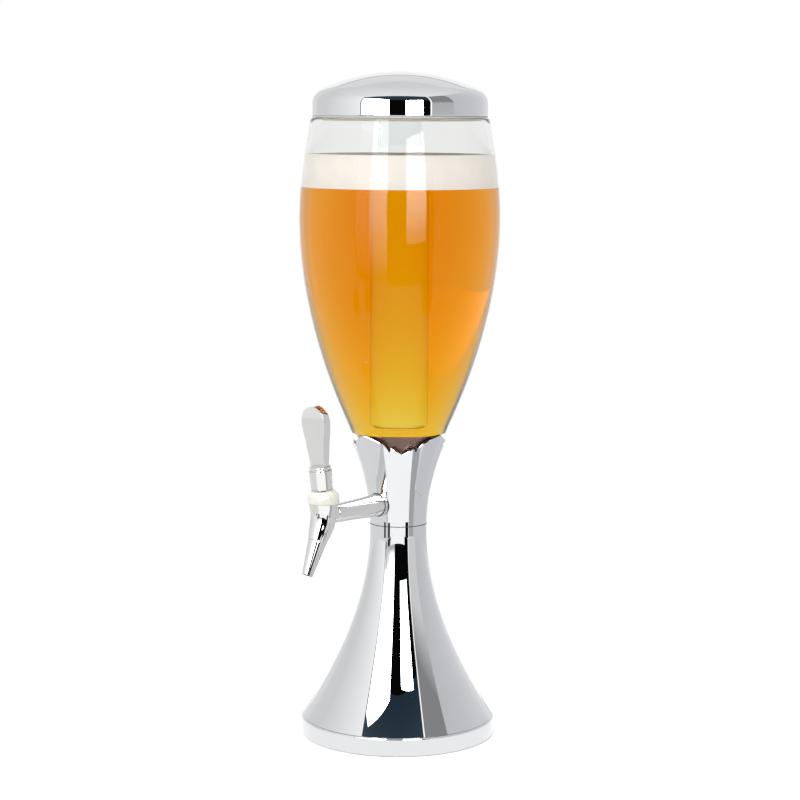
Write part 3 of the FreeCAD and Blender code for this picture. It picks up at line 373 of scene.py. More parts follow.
# ---- materials ----
def linear(code, alpha=1.0):
    """An sRGB hex colour as linear numbers."""
    shares = [int(code[k:k + 2], 16) / 255 for k in (0, 2, 4)]
    return [s / 12.92 if s <= 0.04045 else ((s + 0.055) / 1.055) ** 2.4 for s in shares] + [alpha]


def add(tree, kind, links=None, **settings):
    """A node with its settings, and with values or links for its inputs."""
    made = tree.nodes.new(kind)
    for name, value in settings.items():
        setattr(made, name, value)
    for key, value in (links or {}).items():
        if isinstance(value, bpy.types.NodeSocket):
            tree.links.new(value, made.inputs[key])
        else:
            made.inputs[key].default_value = value
    return made


def surface(name, **sockets):
    """A new material, its node tree and its shader with constant values on its own sockets."""
    material = bpy.data.materials.new(name)
    material.use_nodes = True
    shader = material.node_tree.nodes["Principled BSDF"]
    for key, value in sockets.items():
        shader.inputs[key.replace("_", " ")].default_value = value
    return material, material.node_tree, shader


def mottled(name, dark, light, rough, grain_mm, bump_mm=0.0, stretch=(1, 1, 1), detail=4.0,
            **sockets):
    """A solid finish whose colour, roughness and relief follow one grain of a real size."""
    material, tree, shader = surface(name, **sockets)
    place = add(tree, "ShaderNodeTexCoord").outputs["Object"]
    lie = add(tree, "ShaderNodeMapping", {"Vector": place, "Scale": stretch})
    noise = add(tree, "ShaderNodeTexNoise", {"Vector": lie.outputs[0], "Scale": 1 / (grain_mm * MM),
                                             "Detail": detail, "Roughness": 0.55})
    grain = noise.outputs["Fac"]
    colour = add(tree, "ShaderNodeMix", {"Factor": grain, 6: linear(dark), 7: linear(light)},
                 data_type="RGBA")
    polish = add(tree, "ShaderNodeMapRange", {"Value": grain, "From Min": 0.3, "From Max": 0.7,
                                              "To Min": rough[0], "To Max": rough[1]})
    tree.links.new(colour.outputs[2], shader.inputs["Base Color"])
    tree.links.new(polish.outputs[0], shader.inputs["Roughness"])
    if bump_mm:
        relief = add(tree, "ShaderNodeBump", {"Height": grain, "Strength": 1.0,
                                              "Distance": bump_mm * MM})
        tree.links.new(relief.outputs[0], shader.inputs["Normal"])
    return material


# Bright chrome plate on polished plastic: a mirror with a neutral, slightly cool grey cast and a
# trace of waviness left by the moulding under the plate.
chrome_plate = mottled("chrome_plate", "D2D4D6", "D7D9DA", (0.0, 0.02), 30.0, 0.01, detail=1.0,
                       Metallic=1.0)

# Bright chrome plate on the cast zinc of the tap: the same mirror, a touch paler, with hardly a
# wave in it, because zinc is polished before it is plated.
chrome_on_zinc = mottled("chrome_on_zinc", "D7D7D6", "DDDDDB", (0.0, 0.02), 12.0, 0.001,
                         detail=1.0, Metallic=1.0)

# Clear moulded polycarbonate: water-clear, glossy, with the faintest flow marks.
clear_moulding = mottled("clear_moulding", "F4F5F4", "F9F9F8", (0.0, 0.02), 60.0, 0.004,
                         detail=1.0, IOR=1.5, Transmission_Weight=1.0,
                         Specular_Tint=(0.28, 0.28, 0.28, 1))

# The same moulding where drink wets it: drink and wall bend light nearly alike, so nothing gleams.
wetted_moulding = mottled("wetted_moulding", "FAFBF9", "FEFEFD", (0.0, 0.01), 60.0, detail=1.0,
                          IOR=1.5, Transmission_Weight=1.0, Specular_Tint=(0, 0, 0, 1))

# Clear extruded tube filled with melt water: a hint of cool grey, drawn out along the tube.
clear_tube = mottled("clear_tube", "F5F8F8", "FBFCFC", (0.0, 0.03), 20.0, stretch=(1, 1, 0.1),
                     IOR=1.33, Transmission_Weight=1.0)

# The same tube where drink wets it.
wetted_tube = mottled("wetted_tube", "F5F8F8", "FBFCFC", (0.0, 0.01), 20.0, stretch=(1, 1, 0.1),
                      IOR=1.33, Transmission_Weight=1.0, Specular_Tint=(0, 0, 0, 1))

# Off-white acetal of the bonnet: smooth moulded gloss with a soft warm tone.
warm_acetal = mottled("warm_acetal", "D9D5CB", "E2DED5", (0.22, 0.34), 3.0, 0.01, IOR=1.48)

# Off-white polypropylene of the lid's liner: soft satin moulding.
satin_liner = mottled("satin_liner", "D2CFBF", "DCD9CB", (0.35, 0.5), 4.0, 0.02, IOR=1.49)

# Pale silicone seals: dull and even, with a faint grain from the mould.
pale_silicone = mottled("pale_silicone", "B9B6AE", "C6C3BC", (0.5, 0.65), 1.5, 0.01, IOR=1.41)

# Black nitrile rubber of the gaskets: nearly black, dull.
black_nitrile = mottled("black_nitrile", "121212", "1E1D1C", (0.55, 0.75), 0.8, 0.01, IOR=1.52)

# Black foot pad of foamed rubber: a fine open grain, quite matt.
foamed_rubber = mottled("foamed_rubber", "0E0E0F", "242424", (0.8, 0.95), 1.2, 0.12, IOR=1.5)

# Black moulded plastic of the bottom plate: an even spark-eroded texture.
eroded_plastic = mottled("eroded_plastic", "17181A", "242628", (0.5, 0.7), 0.9, 0.05, IOR=1.5)

# Cup bonded into the vessel's lower end, whose dark brown is painted shade of the drink below the
# collar: smooth moulding, a little lighter than the chamber.
cup_painted_shade = mottled("cup_painted_shade", "70473A", "805648", (0.25, 0.4), 6.0, 0.01, IOR=1.5)

# Painted shade in the seams: the step between base and collar, the collar's lowest edge and a line
# beside the sleeve's bead are coloured dull and dark for the shade in these gaps.
seam_painted_shade = mottled("seam_painted_shade", "3A3C3F", "4A4C50", (0.4, 0.6), 2.0, 0.01, IOR=1.5)

# Painted shade inside the spout's bore: dull and nearly black.
bore_painted_shade = mottled("bore_painted_shade", "17181A", "232426", (0.5, 0.7), 1.0, 0.01, IOR=1.5)

# Dark brown nylon of the neck chamber: smooth moulding, slightly mottled by the glass fibre in it.
brown_nylon = mottled("brown_nylon", "2A1D17", "3A2A22", (0.3, 0.5), 2.0, 0.02, IOR=1.53)

# Zinc-plated steel fasteners: blue-grey crystal grain, satin.
zinc_plated_steel = mottled("zinc_plated_steel", "A9ADB2", "C9CCD0", (0.25, 0.45), 1.0, 0.01,
                            Metallic=1.0)

# Grey cast iron of the ballast: coarse dark skin from the sand mould.
cast_iron = mottled("cast_iron", "26272A", "45464A", (0.6, 0.85), 2.5, 0.2, Metallic=0.6)

# Turned stainless steel of the lever and valve: fine rings left by the lathe.
turned_steel = mottled("turned_steel", "B4B3B0", "CDCCCA", (0.15, 0.3), 1.2, 0.006,
                       stretch=(0.2, 0.2, 8), Metallic=1.0)

# Free-machining brass of the shank and its nut: yellow, satin from the tool.
machined_brass = mottled("machined_brass", "B08D4A", "D2B06A", (0.2, 0.35), 1.2, 0.006,
                         stretch=(8, 0.3, 8), Metallic=1.0)


def lager():
    """Pale lager: clear liquid that takes the blue out of the light over a hand's breadth."""
    material, tree, _ = surface("lager", Base_Color=linear("FFFFFF"), Roughness=0.0, IOR=1.33,
                                Transmission_Weight=1.0, Specular_Tint=(0, 0, 0, 1))
    depth = add(tree, "ShaderNodeVolumeAbsorption",
                {"Color": (0.981, 0.85, 0.1, 1.0), "Density": 60.0})
    tree.links.new(depth.outputs[0], tree.nodes["Material Output"].inputs["Volume"])
    return material


def foam_head():
    """Dense beer foam: off-white; bubbles of a third of a millimetre are drawn at half of one."""
    material, tree, shader = surface("foam_head", IOR=1.33, Roughness=0.8)
    place = add(tree, "ShaderNodeTexCoord").outputs["Object"]
    bubbles = add(tree, "ShaderNodeTexVoronoi", {"Vector": place, "Scale": 1 / (0.5 * MM)})
    drift = add(tree, "ShaderNodeTexNoise",
                {"Vector": place, "Scale": 1 / (12 * MM), "Detail": 5.0})
    tone = add(tree, "ShaderNodeMix",
               {"Factor": drift.outputs["Fac"], 6: linear("F4EBE2"), 7: linear("FCF8F2")},
               data_type="RGBA")
    relief = add(tree, "ShaderNodeBump", {"Height": bubbles.outputs["Distance"], "Strength": 0.4,
                                          "Distance": 0.1 * MM})
    tree.links.new(tone.outputs[2], shader.inputs["Base Color"])
    tree.links.new(relief.outputs[0], shader.inputs["Normal"])
    return material


# ---- foot, base and collar ----
def foot_band():
    """Bright band round the foot, with the flange inside that holds the base."""
    inner = FOOT_RADIUS - FOOT_WALL
    flange = inner - FLANGE_WIDTH
    return turned(rounded([(inner, FOOT_LIFT), (FOOT_RADIUS, FOOT_LIFT, 0.5),
                           (FOOT_RADIUS, FOOT_TOP, 1.2), (inner, FOOT_TOP), (inner, FLANGE_TOP),
                           (flange, FLANGE_TOP), (flange, FLANGE_BOTTOM), (inner, FLANGE_BOTTOM)]),
                  FINE_STEPS)


def flared_base():
    """Flared shell, open below, with its deck on top and a step in the seam round that, painted dark
    as shade.
    """
    skirt = FOOT_RADIUS - FOOT_WALL - FIT
    outside = [(base_radius(z), z) for z in spaced(FOOT_TOP + 0.4, BASE_HEIGHT - 0.3, 90)]
    lip = [(outside[0][0] - 0.35, FOOT_TOP + REST_GAP)]
    under = [(base_radius(z), z) for z in spaced(BASE_HEIGHT - BASE_DECK, FOOT_TOP + 4, 40)]
    step = outside[-1][0] - SEAM_DEPTH
    seam = BASE_HEIGHT - SEAM_HEIGHT
    bm = turned([(skirt - BASE_WALL, FLANGE_TOP), (skirt, FLANGE_TOP), (skirt, FOOT_TOP + REST_GAP)]
                + lip + outside
                + [(step, seam), (step, BASE_HEIGHT), (ROD_HOLE, BASE_HEIGHT),
                   (ROD_HOLE, BASE_HEIGHT - BASE_DECK)]
                + inset(under, -BASE_WALL) + [(skirt - BASE_WALL, FOOT_TOP)], FINE_STEPS)
    # the step in the seam takes the second finish: painted shade
    return second_finish(bm, seam - 0.01, BASE_HEIGHT + 0.1, inward=False)


PAD_COLUMNS = 12               # from a petal's middle to its edge
EDGE_COLUMNS = 2               # across the step at its edge
QUARTER_COLUMNS = 48           # from one petal's middle to the next one's


def petal_edge(angle):
    """Height of the collar's upper edge at an angle from a petal's middle."""
    side = collar_radius(PETAL_TIP) * math.sin(math.radians(angle))
    valley = VALLEY_LOW + (collar_radius(PETAL_TIP) * math.sin(math.radians(45 - angle))
                           * math.tan(math.radians(VALLEY_SLOPE)))
    if side > 0.99 * PETAL_TIP_ROUND:
        return valley
    tip = PETAL_TIP - PETAL_TIP_ROUND + math.sqrt(PETAL_TIP_ROUND ** 2 - side ** 2)
    return min(tip, valley)


def petal_angle(column, half):
    """Angle of a column of the petal's grid: pad, its edge, and the collar beside it."""
    if column <= PAD_COLUMNS:
        return half * column / PAD_COLUMNS
    beside = column - PAD_COLUMNS
    if beside <= EDGE_COLUMNS:
        return half + PETAL_STEP_ANGLE * beside
    start = half + PETAL_STEP_ANGLE * EDGE_COLUMNS
    columns = QUARTER_COLUMNS / 2 - PAD_COLUMNS - EDGE_COLUMNS
    return start + (45 - start) * (beside - EDGE_COLUMNS) / columns


def collar_point(column, share, depth, rise):
    """A point of the collar, in the plane of its section: angle, distance and height."""
    top = petal_edge(petal_angle(column, PETAL_HALF_ANGLE))
    z = BASE_HEIGHT + (top - BASE_HEIGHT) * share
    spread = min(max((z - PETAL_POINT) / (PETAL_FLANK - PETAL_POINT), 0.08), 1)
    half = PETAL_HALF_ANGLE * spread
    angle = petal_angle(column, half)
    radius = collar_radius(z)
    proud = min(max((z - PETAL_POINT) / PETAL_STEP_RISE, 0), 1)
    outer = radius
    if column <= PAD_COLUMNS:
        edge = radius + PETAL_STEP * proud
        crest = edge + (PETAL_RIDGE - PETAL_STEP) * proud * (z - BASE_HEIGHT) / COLLAR_HEIGHT
        along = column / PAD_COLUMNS
        x = crest + (edge * math.cos(math.radians(half)) - crest) * along
        y = edge * math.sin(math.radians(half)) * along
        outer = math.hypot(x, y)
        angle = math.degrees(math.atan2(y, x))
    elif column == PAD_COLUMNS + 1:
        outer = radius + 0.45 * PETAL_STEP * proud
    inner = radius - COLLAR_WALL
    return angle, outer + (inner - outer) * depth, z + rise


def petal_collar():
    """Flared collar with four creased petals, from a straight tube whose grid is then shaped."""
    # the tube's radius is 10 less the share of the wall's depth, its height the share of the rise
    rows = [(9.72, 0.0045)] + [(10.0, t) for t in spaced(0.005, 0.985, 66)]
    rim = [(10.0, 0.997), (9.93, 1.2), (9.75, 1.5), (9.5, 1.6), (9.25, 1.5), (9.07, 1.2)]
    inner = [(9.0, t) for t in spaced(0.985, 0.0, 40)]
    bm = turned([(9.72, 0.0)] + rows + rim + inner, 4 * QUARTER_COLUMNS)
    for vert in bm.verts:
        ring = vert.co.to_2d().length
        column = round(math.degrees(math.atan2(vert.co.y, vert.co.x)) / 360 * 4 * QUARTER_COLUMNS)
        quarter = round(column / QUARTER_COLUMNS)
        beside = column - quarter * QUARTER_COLUMNS
        share = min(vert.co.z, 1.0)
        rise = max(vert.co.z - 1.0, 0.0)
        angle, distance, z = collar_point(abs(beside), share, 10.0 - ring, rise)
        turn = math.radians(90 * quarter + math.copysign(angle, beside))
        vert.co = (distance * math.cos(turn), distance * math.sin(turn), z)
    # the collar's lowest edge, at the seam, takes the second finish: painted shade
    return second_finish(bm, BASE_HEIGHT - 0.1, BASE_HEIGHT + 0.38, inward=False)


# ---- vessel, drink and lid ----
def clear_vessel():
    """Blown vessel, open at both ends; drink and foam wet it on the inside above its dark cup."""
    outside = vessel_side()
    inside = inset(outside, VESSEL_WALL)
    top_r, top_z = outside[-1]
    rim = arc((top_r - VESSEL_WALL / 2, top_z), VESSEL_WALL / 2, 0, 180, 8)
    lower_edge = (inside[0][0] - 0.3, VESSEL_SHOULDER)
    bm = turned(outside[:-1] + rim + inside[-2::-1] + [lower_edge], STEPS)
    return second_finish(bm, CUP_TOP, FOAM_TOP)


def dark_cup():
    """Cup in the vessel's lower end, with the spigot that goes into the neck."""
    depth = VESSEL_WALL + FIT
    outside = cut_at(inset(vessel_side(), depth), VESSEL_SHOULDER + 1.5, CUP_TOP)
    inside = cut_at(inset(vessel_side(), depth + CUP_WALL), CUP_FLOOR, CUP_TOP)
    bore = SPIGOT_RADIUS - SPIGOT_WALL
    return turned([(bore, SPIGOT_BOTTOM), (SPIGOT_RADIUS, SPIGOT_BOTTOM),
                   (SPIGOT_RADIUS, VESSEL_SHOULDER), (outside[0][0] - 0.6, VESSEL_SHOULDER)]
                  + outside + inside[::-1] + [(bore, CUP_FLOOR)], STEPS)


def drink_body():
    """Drink between the vessel and the ice tube, down through the dark cup."""
    wall = cut_at(inset(vessel_side(), VESSEL_WALL - OVERLAP), CUP_TOP - FIT, DRINK_TOP)
    cup = cut_at(inset(vessel_side(), VESSEL_WALL + FIT + CUP_WALL - OVERLAP),
                 CUP_FLOOR - FIT, CUP_TOP - FIT)
    bore = SPIGOT_RADIUS - SPIGOT_WALL + OVERLAP
    hole = ICE_RADIUS - OVERLAP
    socket = arc((hole - ICE_ROUND, ICE_BOTTOM + OVERLAP + ICE_ROUND), ICE_ROUND, 0, -90, 6)
    return turned([(0, SPIGOT_BOTTOM + 1), (bore, SPIGOT_BOTTOM + 1), (bore, CUP_FLOOR - FIT)]
                  + cup + wall + [(hole, DRINK_TOP)] + socket + [(0, ICE_BOTTOM + OVERLAP)], STEPS)


def foam_body():
    """Foam on the drink, a little dished, with the tube's hole in it."""
    side = cut_at(inset(vessel_side(), VESSEL_WALL - OVERLAP), DRINK_TOP - OVERLAP, FOAM_TOP)
    hole = ICE_RADIUS - OVERLAP
    edge = side[-1][0]
    return turned([(hole, DRINK_TOP - OVERLAP)] + side[:-1]
                  + [(edge, FOAM_TOP - 0.3), (edge - 1.5, FOAM_TOP - 1.0),
                     (hole + 8, FOAM_TOP - 1.2), (hole, FOAM_TOP - 0.6)], STEPS)


def lid_path(depth):
    """Points of the dome at a depth under its surface, from the crown to the side."""
    shoulder_r = LID_RADIUS - LID_SHOULDER_RADIUS
    apart = LID_CROWN_RADIUS - LID_SHOULDER_RADIUS
    lean = math.degrees(math.asin(shoulder_r / apart))
    crown_z = LID_SHOULDER - math.sqrt(apart ** 2 - shoulder_r ** 2)
    crown = arc((0, crown_z), LID_CROWN_RADIUS - depth, 90, 90 - lean, 30)
    crown[0] = (0, crown[0][1])
    return crown + arc((shoulder_r, LID_SHOULDER), LID_SHOULDER_RADIUS - depth, 90 - lean, 0, 16)[1:]


def dome_lid():
    """Domed lid with an eased lower edge."""
    side = LID_RADIUS
    edge = [(side, LID_BOTTOM + 1.2), (side, LID_BOTTOM + 0.8), (side - 0.25, LID_BOTTOM + 0.25),
            (side - 0.8, LID_BOTTOM), (side - LID_WALL, LID_BOTTOM)]
    return turned(lid_path(0) + edge + lid_path(LID_WALL)[::-1], FINE_STEPS)


def lid_disc():
    """Liner of the lid: a disc with a skirt inside the vessel's rim and a boss for the tube."""
    socket = ICE_RADIUS + FIT
    boss = socket + LINER_WALL
    skirt = SKIRT_RADIUS - LINER_WALL
    edge = LID_RADIUS - LID_WALL
    return turned(rounded([(socket, BOSS_BOTTOM), (boss, BOSS_BOTTOM, 0.4), (boss, LINER_BOTTOM),
                           (skirt, LINER_BOTTOM), (skirt, SKIRT_BOTTOM, 0.4),
                           (SKIRT_RADIUS, SKIRT_BOTTOM, 0.4), (SKIRT_RADIUS, LINER_BOTTOM),
                           (edge, LINER_BOTTOM), (edge, LINER_TOP), (socket, LINER_TOP)]), STEPS)


def lid_seal():
    """Soft ring under the liner, with a collar that the lid holds."""
    low = RIM_HEIGHT + 0.3
    collar = LID_RADIUS - LID_WALL - FIT
    return turned([(SKIRT_RADIUS, low), (SEAL_RADIUS, low), (SEAL_RADIUS, LID_BOTTOM - FIT),
                   (collar, LID_BOTTOM - FIT), (collar, LINER_BOTTOM),
                   (SKIRT_RADIUS, LINER_BOTTOM)], STEPS)


def ice_core():
    """Clear tube with melt water in it: solid up to the water, hollow above."""
    foot = arc((ICE_RADIUS - ICE_ROUND, ICE_BOTTOM + ICE_ROUND), ICE_ROUND, -90, 0, 8)
    inner = ICE_RADIUS - ICE_WALL
    side = [(ICE_RADIUS, z) for z in (FOAM_TOP - 1, FOAM_TOP, LINER_TOP)]
    flange = [(ICE_FLANGE_RADIUS, LINER_TOP), (ICE_FLANGE_RADIUS, ICE_TOP), (inner, ICE_TOP)]
    bm = turned([(0, ICE_BOTTOM)] + foot + side + flange + [(inner, ICE_FILL), (0, ICE_FILL)], STEPS)
    return second_finish(bm, ICE_BOTTOM - 1, FOAM_TOP, inward=False)


# ---- tap ----
def arm_sleeve():
    """Tapering sleeve with a rounded bead where it meets the collar, and a line of painted shade
    beside it.
    """
    start = (SLEEVE_COLLAR_RADIUS - 0.1, BEAD_END)
    end = (SLEEVE_TAP_RADIUS, SLEEVE_OUTER_END)
    bm = turned(rounded([(SHANK_HOLE, SLEEVE_INNER_END), (BEAD_RADIUS, SLEEVE_INNER_END, 0.5),
                         (BEAD_RADIUS, BEAD_END, 0.6), start] + held(start, end)
                        + [(*end, 0.4), (SHANK_HOLE, SLEEVE_OUTER_END)]), TAP_STEPS)
    # the line beside the bead takes the second finish: painted shade
    return moved(second_finish(bm, BEAD_END - 0.4, BEAD_END + 0.1, inward=False), ALONG_ARM)


def over_socket(face):
    """Whether a face of the cup lies where the shank goes in."""
    centre = face.calc_center_median()
    return (centre.y > SHANK_SOCKET_SIDE - TAP_REACH
            and math.hypot(centre.x, centre.z - SHANK_HEIGHT) < SHANK_SOCKET_RADIUS)


def tap_cup():
    """Upright cup that bends into the spout, with the stub that meets the arm."""
    keys = [(0.0, -TAP_REACH, TAP_TOP, TAP_TOP_RADIUS, 0.0),
            (7.2, -TAP_REACH, TAP_TOP - 7.2, 11.1, 0.0)]
    for run, radius, lean in ((0.15 * SEAM_RUN, 10.55, 0.6 * SPOUT_LEAN),
                              (0.6 * SEAM_RUN, 9.45, SPOUT_LEAN),
                              (SEAM_RUN, SEAM_RADIUS, SPOUT_LEAN)):
        centre = along_spout(run).translation
        keys.append((TAP_TOP - ELBOW_HEIGHT + run, centre.y, centre.z, radius, lean))
    bm = bmesh.new()
    loops = []
    rows = through(keys, 44)
    for k, (_, y, z, radius, lean) in enumerate(rows):
        turn = Matrix.Rotation(math.radians(180 - lean), 4, "X")
        ring = bmesh.ops.create_circle(bm, cap_ends=k in (0, len(rows) - 1), segments=TAP_STEPS,
                                       radius=radius, matrix=Matrix.Translation((0, y, z)) @ turn)
        loops.append({edge for vert in ring["verts"] for edge in vert.link_edges})
    for above, below in zip(loops, loops[1:]):
        bmesh.ops.bridge_loops(bm, edges=list(above | below))
    ends = [edge for edge in bm.edges if any(len(face.verts) > 4 for face in edge.link_faces)]
    bmesh.ops.bevel(bm, geom=ends, offset=0.35, offset_type="OFFSET", affect="EDGES", segments=3,
                    profile=0.5, material=-1)
    bmesh.ops.delete(bm, geom=[face for face in bm.faces if over_socket(face)], context="FACES")
    rim = [edge for edge in bm.edges if edge.is_boundary]
    floor = bmesh.ops.extrude_edge_only(bm, edges=rim)["geom"]
    for vert in (item for item in floor if isinstance(item, bmesh.types.BMVert)):
        vert.co.y = SHANK_SOCKET_FLOOR - TAP_REACH
    bmesh.ops.holes_fill(bm, edges=[edge for edge in bm.edges if edge.is_boundary])
    stub = turned([(SHANK_HOLE, 84.1), (7.8, 84.1), (SLEEVE_TAP_RADIUS, 84.5),
                   (SLEEVE_TAP_RADIUS, 95.0), (SHANK_HOLE, 95.0)], STUB_STEPS)
    return joined(bm, moved(stub, ALONG_ARM))


def joined(bm, other):
    """Both meshes as one."""
    mesh = bpy.data.meshes.new("joined")
    other.to_mesh(mesh)
    other.free()
    bm.from_mesh(mesh)
    bpy.data.meshes.remove(mesh)
    return bm


def spout_tip():
    """Lower half of the spout, turned about its own axis, with its bore, which is painted dark as
    shade.
    """
    top = (SEAM_RADIUS, SEAM_RUN + REST_GAP)
    tip = (TIP_RADIUS, TIP_RUN)
    bm = turned(rounded([(SPOUT_BORE, top[1]), (*top, 0.35)] + held(top, tip)
                        + [(*tip, 0.15), (SPOUT_BORE + 0.5, TIP_RUN),
                           (SPOUT_BORE, TIP_RUN - 0.5)]), TAP_STEPS)
    # the bore's inward faces take the second finish: painted shade
    return moved(second_finish(bm, SEAM_RUN, TIP_RUN), along_spout(0))


def dome_at(radius, sphere):
    """Height of a sphere about the pivot, at a distance from the tap's axis."""
    return PIVOT_HEIGHT + math.sqrt(sphere ** 2 - radius ** 2)


def bonnet_ring():
    """Domed cap; its mouth is turned forwards about the pivot, to the middle of the lever's swing."""
    bottom = TAP_TOP + REST_GAP
    side = rounded([(BONNET_BORE, bottom), (BONNET_RADIUS, bottom, 0.35), (BONNET_RADIUS, 218.1),
                    (12.95, 218.9), (12.5, 219.8)])
    dome = [(r, dome_at(r, BONNET_DOME)) for r in spaced(12.1, BONNET_MOUTH, 12)]
    inside = [(4.1, 216.3), (6.3, 215.1), (8.4, 215.1), (8.4, 216.5), (BONNET_BORE, 216.5)]
    bm = turned(side + dome + inside, SMALL_STEPS)
    moved(bm, Matrix.Translation((0, 0, -PIVOT_HEIGHT)))
    # the mouth turns all the way, and what lies 50 degrees or more from the top doesn't turn
    for vert in bm.verts:
        polar = math.degrees(vert.co.angle(Vector((0, 0, 1))))
        share = min(max((50.0 - polar) / 30.3, 0), 1) if vert.co.length > 10 else float(polar < 40)
        turn = Matrix.Rotation(share * math.radians(LEVER_LEAN + LEVER_SWING / 2), 3, "X")
        vert.co = turn @ vert.co
    return moved(bm, AT_PIVOT)


def lever_sleeve():
    """Ferrule under the handle, hollow below so that it clears the bonnet's dome."""
    hollow = [(r, dome_at(r, FERRULE_HOLLOW)) for r in spaced(FERRULE_BORE, 8.6, 6)]
    low = (FERRULE_LOW_RADIUS, dome_at(FERRULE_LOW_RADIUS, FERRULE_HOLLOW))
    top = (FERRULE_TOP_RADIUS, FERRULE_TOP)
    side = rounded([(*low, 0.3)] + held(low, top) + [(*top, 0.5), (FERRULE_BORE, FERRULE_TOP)])
    return moved(turned([(FERRULE_BORE, FERRULE_TOP)] + hollow + side[:-1], TAP_STEPS), ON_LEVER)


def paddle_handle():
    """Paddle with an eased rim, thickest halfway up, on a round foot."""
    waist = HANDLE_LOW_WIDTH + (HANDLE_WIDTH - HANDLE_LOW_WIDTH) * HANDLE_WAIST
    widths = [(HANDLE_LOW, HANDLE_LOW_WIDTH), ((HANDLE_LOW + HANDLE_SHOULDER) / 2, waist),
              (HANDLE_SHOULDER, HANDLE_WIDTH)]
    side = [(x, z) for z, x in through(widths, 14, (0.1, 0.0))]
    right = side + arc((0, HANDLE_SHOULDER), HANDLE_WIDTH, 0, 90, 12)[1:]
    left = [(-x, z) for x, z in reversed(right[:-1])]
    bm = bmesh.new()
    front = bm.faces.new([bm.verts.new((x, -HANDLE_THICKNESS / 2, z)) for x, z in right + left])
    back = bmesh.ops.extrude_face_region(bm, geom=[front], use_keep_orig=True)["geom"]
    bmesh.ops.translate(bm, vec=(0, HANDLE_THICKNESS, 0),
                        verts=[item for item in back if isinstance(item, bmesh.types.BMVert)])
    bmesh.ops.recalc_face_normals(bm, faces=bm.faces[:])
    for _, z in right[1:-1]:
        bmesh.ops.bisect_plane(bm, geom=bm.verts[:] + bm.edges[:] + bm.faces[:], dist=0.0001,
                               plane_co=(0, 0, z), plane_no=(0, 0, 1))
    rim = [edge for edge in bm.edges if len(edge.link_faces) == 2 and edge.calc_face_angle() > 1.0
           and edge.verts[0].co.z + edge.verts[1].co.z > 2 * HANDLE_LOW + 0.1]
    bmesh.ops.bevel(bm, geom=rim, offset=HANDLE_ROUND, offset_type="OFFSET", affect="EDGES",
                    segments=5, profile=0.5, material=-1, clamp_overlap=True)
    flat = [face for face in bm.faces if abs(face.normal.y) > 0.999]
    bmesh.ops.inset_region(bm, faces=flat, thickness=0.2, use_even_offset=True, use_boundary=True)
    centre = (HANDLE_LOW + HANDLE_TOP) / 2
    for vert in bm.verts:
        share = (vert.co.z - centre) / (HANDLE_TOP - centre)
        thickness = HANDLE_THICKNESS - (HANDLE_THICKNESS - HANDLE_END_THICKNESS) * share ** 2
        vert.co.y *= thickness / HANDLE_THICKNESS
    foot = turned(rounded([(0, FERRULE_TOP + REST_GAP),
                           (HANDLE_FOOT_RADIUS, FERRULE_TOP + REST_GAP, 0.4),
                           (HANDLE_FOOT_RADIUS, HANDLE_FOOT_TOP, 1.0), (0, HANDLE_FOOT_TOP)]),
                  SMALL_STEPS)
    return moved(joined(bm, foot), ON_LEVER)


# ---- pieces ----
piece("foot_band", foot_band(), [chrome_plate], "tower", "mirror_plating", "foot_ring")
piece("flared_base", flared_base(), [chrome_plate, seam_painted_shade], "tower", "mirror_plating",
      "base_shell")
piece("four_petal_collar", petal_collar(), [chrome_plate, seam_painted_shade], "tower", "mirror_plating",
      "petal_collar", sharp=28.0)
piece("clear_vessel", clear_vessel(), [clear_moulding, wetted_moulding], "tower", "clear_plastic",
      "vessel")
# the cup's dark brown is painted shade
piece("dark_cup", dark_cup(), [cup_painted_shade], "tower", "chamber_plastic", "vessel_foot")
piece("drink", drink_body(), [lager()], "tower", "clear_plastic")
piece("foam", foam_body(), [foam_head()], "tower", "liner_plastic")
piece("dome_lid", dome_lid(), [chrome_plate], "lid", "mirror_plating", "lid_shell")
piece("lid_disc", lid_disc(), [satin_liner], "lid", "liner_plastic", "lid_liner")
piece("lid_seal", lid_seal(), [pale_silicone], "lid", "seal_silicone", "lid_seal_ring")
piece("ice_core", ice_core(), [clear_tube, wetted_tube], "lid", "clear_tube_plastic", "ice_tube")
piece("arm_sleeve", arm_sleeve(), [chrome_on_zinc, seam_painted_shade], "tower", "mirror_plating",
      "shank_sleeve")
piece("tap_cup", tap_cup(), [chrome_on_zinc], "tower", "mirror_plating", "tap_body")
piece("spout_tip", spout_tip(), [chrome_on_zinc, bore_painted_shade], "tower", "mirror_plating",
      "spout_nozzle")
piece("bonnet_ring", bonnet_ring(), [warm_acetal], "tower", "bonnet_plastic", "bonnet")
piece("lever_sleeve", lever_sleeve(), [chrome_on_zinc], "lever", "mirror_plating", "lever_ferrule")
piece("paddle_handle", paddle_handle(), [chrome_on_zinc], "lever", "mirror_plating", "tap_handle")

KEPT = {
    "anti_slip_pad": foamed_rubber, "bottom_plate": eroded_plastic,
    "plate_screws": zinc_plated_steel, "ballast_weight": cast_iron, "tie_rod": zinc_plated_steel,
    "tie_rod_washer": zinc_plated_steel, "tie_rod_nut": zinc_plated_steel,
    "neck_chamber": brown_nylon, "vessel_seal_ring": pale_silicone, "tap_shank": machined_brass,
    "shank_gasket_outer": black_nitrile, "shank_gasket_inner": black_nitrile,
    "shank_nut": machined_brass, "lever_seal": black_nitrile, "lever_core": turned_steel,
    "valve_stem": turned_steel, "valve_washer": black_nitrile,
}
for node_name, finish in KEPT.items():
    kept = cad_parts[node_name]
    kept.data.materials.clear()
    kept.data.materials.append(finish)

